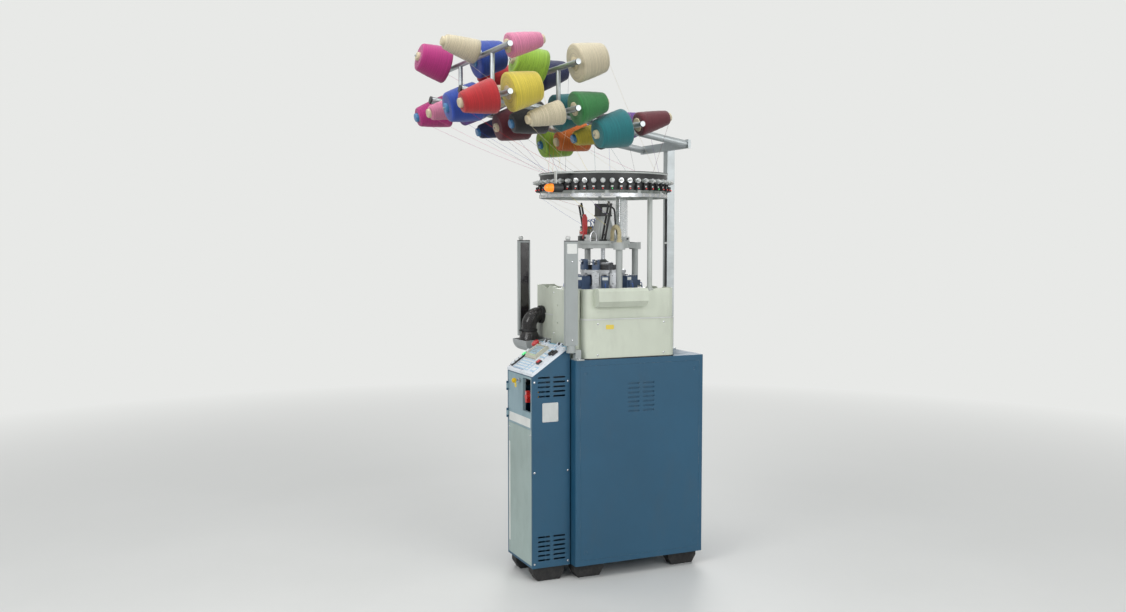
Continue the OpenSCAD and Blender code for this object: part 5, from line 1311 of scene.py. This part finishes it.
# %% [markdown]
# ## Ring, creel and back
# The beacon sits on a black base. The creel's tubes are clamped to its arms and
# closed with black caps, and the mast carries the cable of the ring's units.

# %% Beacon base and ring trim
base = turned([(0.0212, 0.0), (0.0212, 0.0050), (0.0204, 0.0062)], 32,
              move=facing((0.180, -0.1062, 1.770), (0, -1, 0)))
freeze(base, "beacon_base", "black_plastic")
freeze(torus(0.3055, 0.0016, (0, AXIS_Y, 1.8452)), "ring_plate_edge", "black_plastic")
freeze(torus(0.1500, 0.0026, (0, AXIS_Y, 1.8440)), "ring_hole_edge", "black_rubber")

# %% Threads from the ring's bar to the guide frames
# Each guide frame has an eyelet on its upper rungs. The threads that feed the
# head run from the ring's front eyelets to them.
LEAN = math.radians(22)


def rung_place(side, k):
    """The front of rung k of the left or right guide frame."""
    up = 0.0325 + 0.050 * k
    return Vector((side * (0.092 + up * math.sin(LEAN)), 0.1812,
                   BRIDGE_TOP + up * math.cos(LEAN)))


rungs = [(side, k) for side in (-1, 1) for k in (1, 2, 3)]
freeze(spread(eyelet(0.0036, 0.0010), [facing(rung_place(*rung), (0, -1, 0)) for rung in rungs]),
       "guide_eyelets", "white_ceramic")
FEED_COLORS = ["royal_blue", "natural", "scarlet", "lemon", "violet", "natural"]
total = 0.0
for number, (side, k) in enumerate(rungs):
    wanted = math.radians(270 + side * (22 + 13 * k))
    angle = min(UNIT_ANGLES, key=lambda a: abs(a - wanted))
    total += thread(f"feed_thread_{number + 1}", on_ring(angle, RING_R + BAR_OUT, BAR_Z),
                    rung_place(side, k), FEED_COLORS[number])
print("feed thread on show:", round(total, 2), "m")

# %% Creel clamps and caps
ARM_X, ARM_END, RAIL_END = 0.212, 1.1255, 0.425
clamp_spots = [ARMS @ shift(s * ARM_X, -reach, 0) for s in (-1, 1) for reach in RAIL_S]
freeze(spread(slab((0.0440, 0.0300, 0.0440), round_edge=0.0030, segments=3), clamp_spots),
       "creel_clamps", "black_plastic")
cap_screws("clamp_screws", 0.0042, 0.0044, [
    spot @ shift(dx, 0, 0.0220) for spot in clamp_spots for dx in (-0.015, 0.015)])
rails = [ARMS @ shift(0, -reach, 0) for reach in RAIL_S]
rails += [rail @ UPRIGHT @ shift(0, 0, TIER_H) for rail in rails[:2]]
rail_cap = turned([(0.0128, 0.0), (0.0130, 0.0060), (0.0122, 0.0074), (0.0090, 0.0079)], 20)
freeze(spread(rail_cap, [
    rail @ shift(s * (RAIL_END - 0.0080), 0, 0) @ Matrix.Rotation(s * math.pi / 2, 4, "Y")
    for rail in rails for s in (-1, 1)]), "rail_caps", "black_plastic")
arm_cap = turned([(0.0178, 0.0), (0.0180, 0.0060), (0.0170, 0.0080)], 24)
freeze(spread(arm_cap, [ARMS @ shift(s * ARM_X, -ARM_END, 0) @ AISLE for s in (-1, 1)]),
       "arm_caps", "black_plastic")

# %% Mast: cable and its clips
CABLE_X, MAST_Y = 0.012, 0.587
CABLE_Y = MAST_Y - 0.0245
cable = tube([(CABLE_X, MAST_Y - 0.0240, 1.0005)]
             + [(CABLE_X, CABLE_Y, z) for z in (1.060, 1.300, 1.600, 1.790)]
             + [(CABLE_X, MAST_Y - 0.0300, 1.824), (CABLE_X, MAST_Y - 0.0440, 1.8385)],
             0.0042, 12)
freeze(cable, "mast_cable", "black_cable")
clip = slab((0.0130, 0.0110, 0.0090), (CABLE_X, CABLE_Y, 0), 0.0015)
freeze(spread(clip, [shift(0, 0, z) for z in (1.08, 1.30, 1.52, 1.74)]),
       "mast_cable_clips", "white_plastic")

# %% Light-blue edge of the cabinet, and a painted highlight on the recess floor
painted("light_blue_paint_and_recess_highlight", (110, 178, 206), (170, 190, 198), 0.36, 0.5, 0.12)
edge = [wall_plate(x, -0.0775, -0.0578, 1.0400, 1.0565, corner=0.001, side=side)
        for x, side in ((CAB_X1, 1), (CAB_X0, -1))]
edge.append(flat_field(CAB_X0, CAB_X1, -0.0775, -0.0575, corner=0.001))
edge[2].data.transform(shift(0, 0, 1.0570))
# Painted light: a light-blue plate on the floor of the main switch's recess, where light falls
# into the dark blue recess.
edge.append(slab((0.0520, 0.0185, 0.0016), (0.190, -0.1868, 0.7990), 0.0004))
freeze(merged(edge), "cabinet_light_edge", "light_blue_paint_and_recess_highlight")
print("creel and cabinet edge dressed")
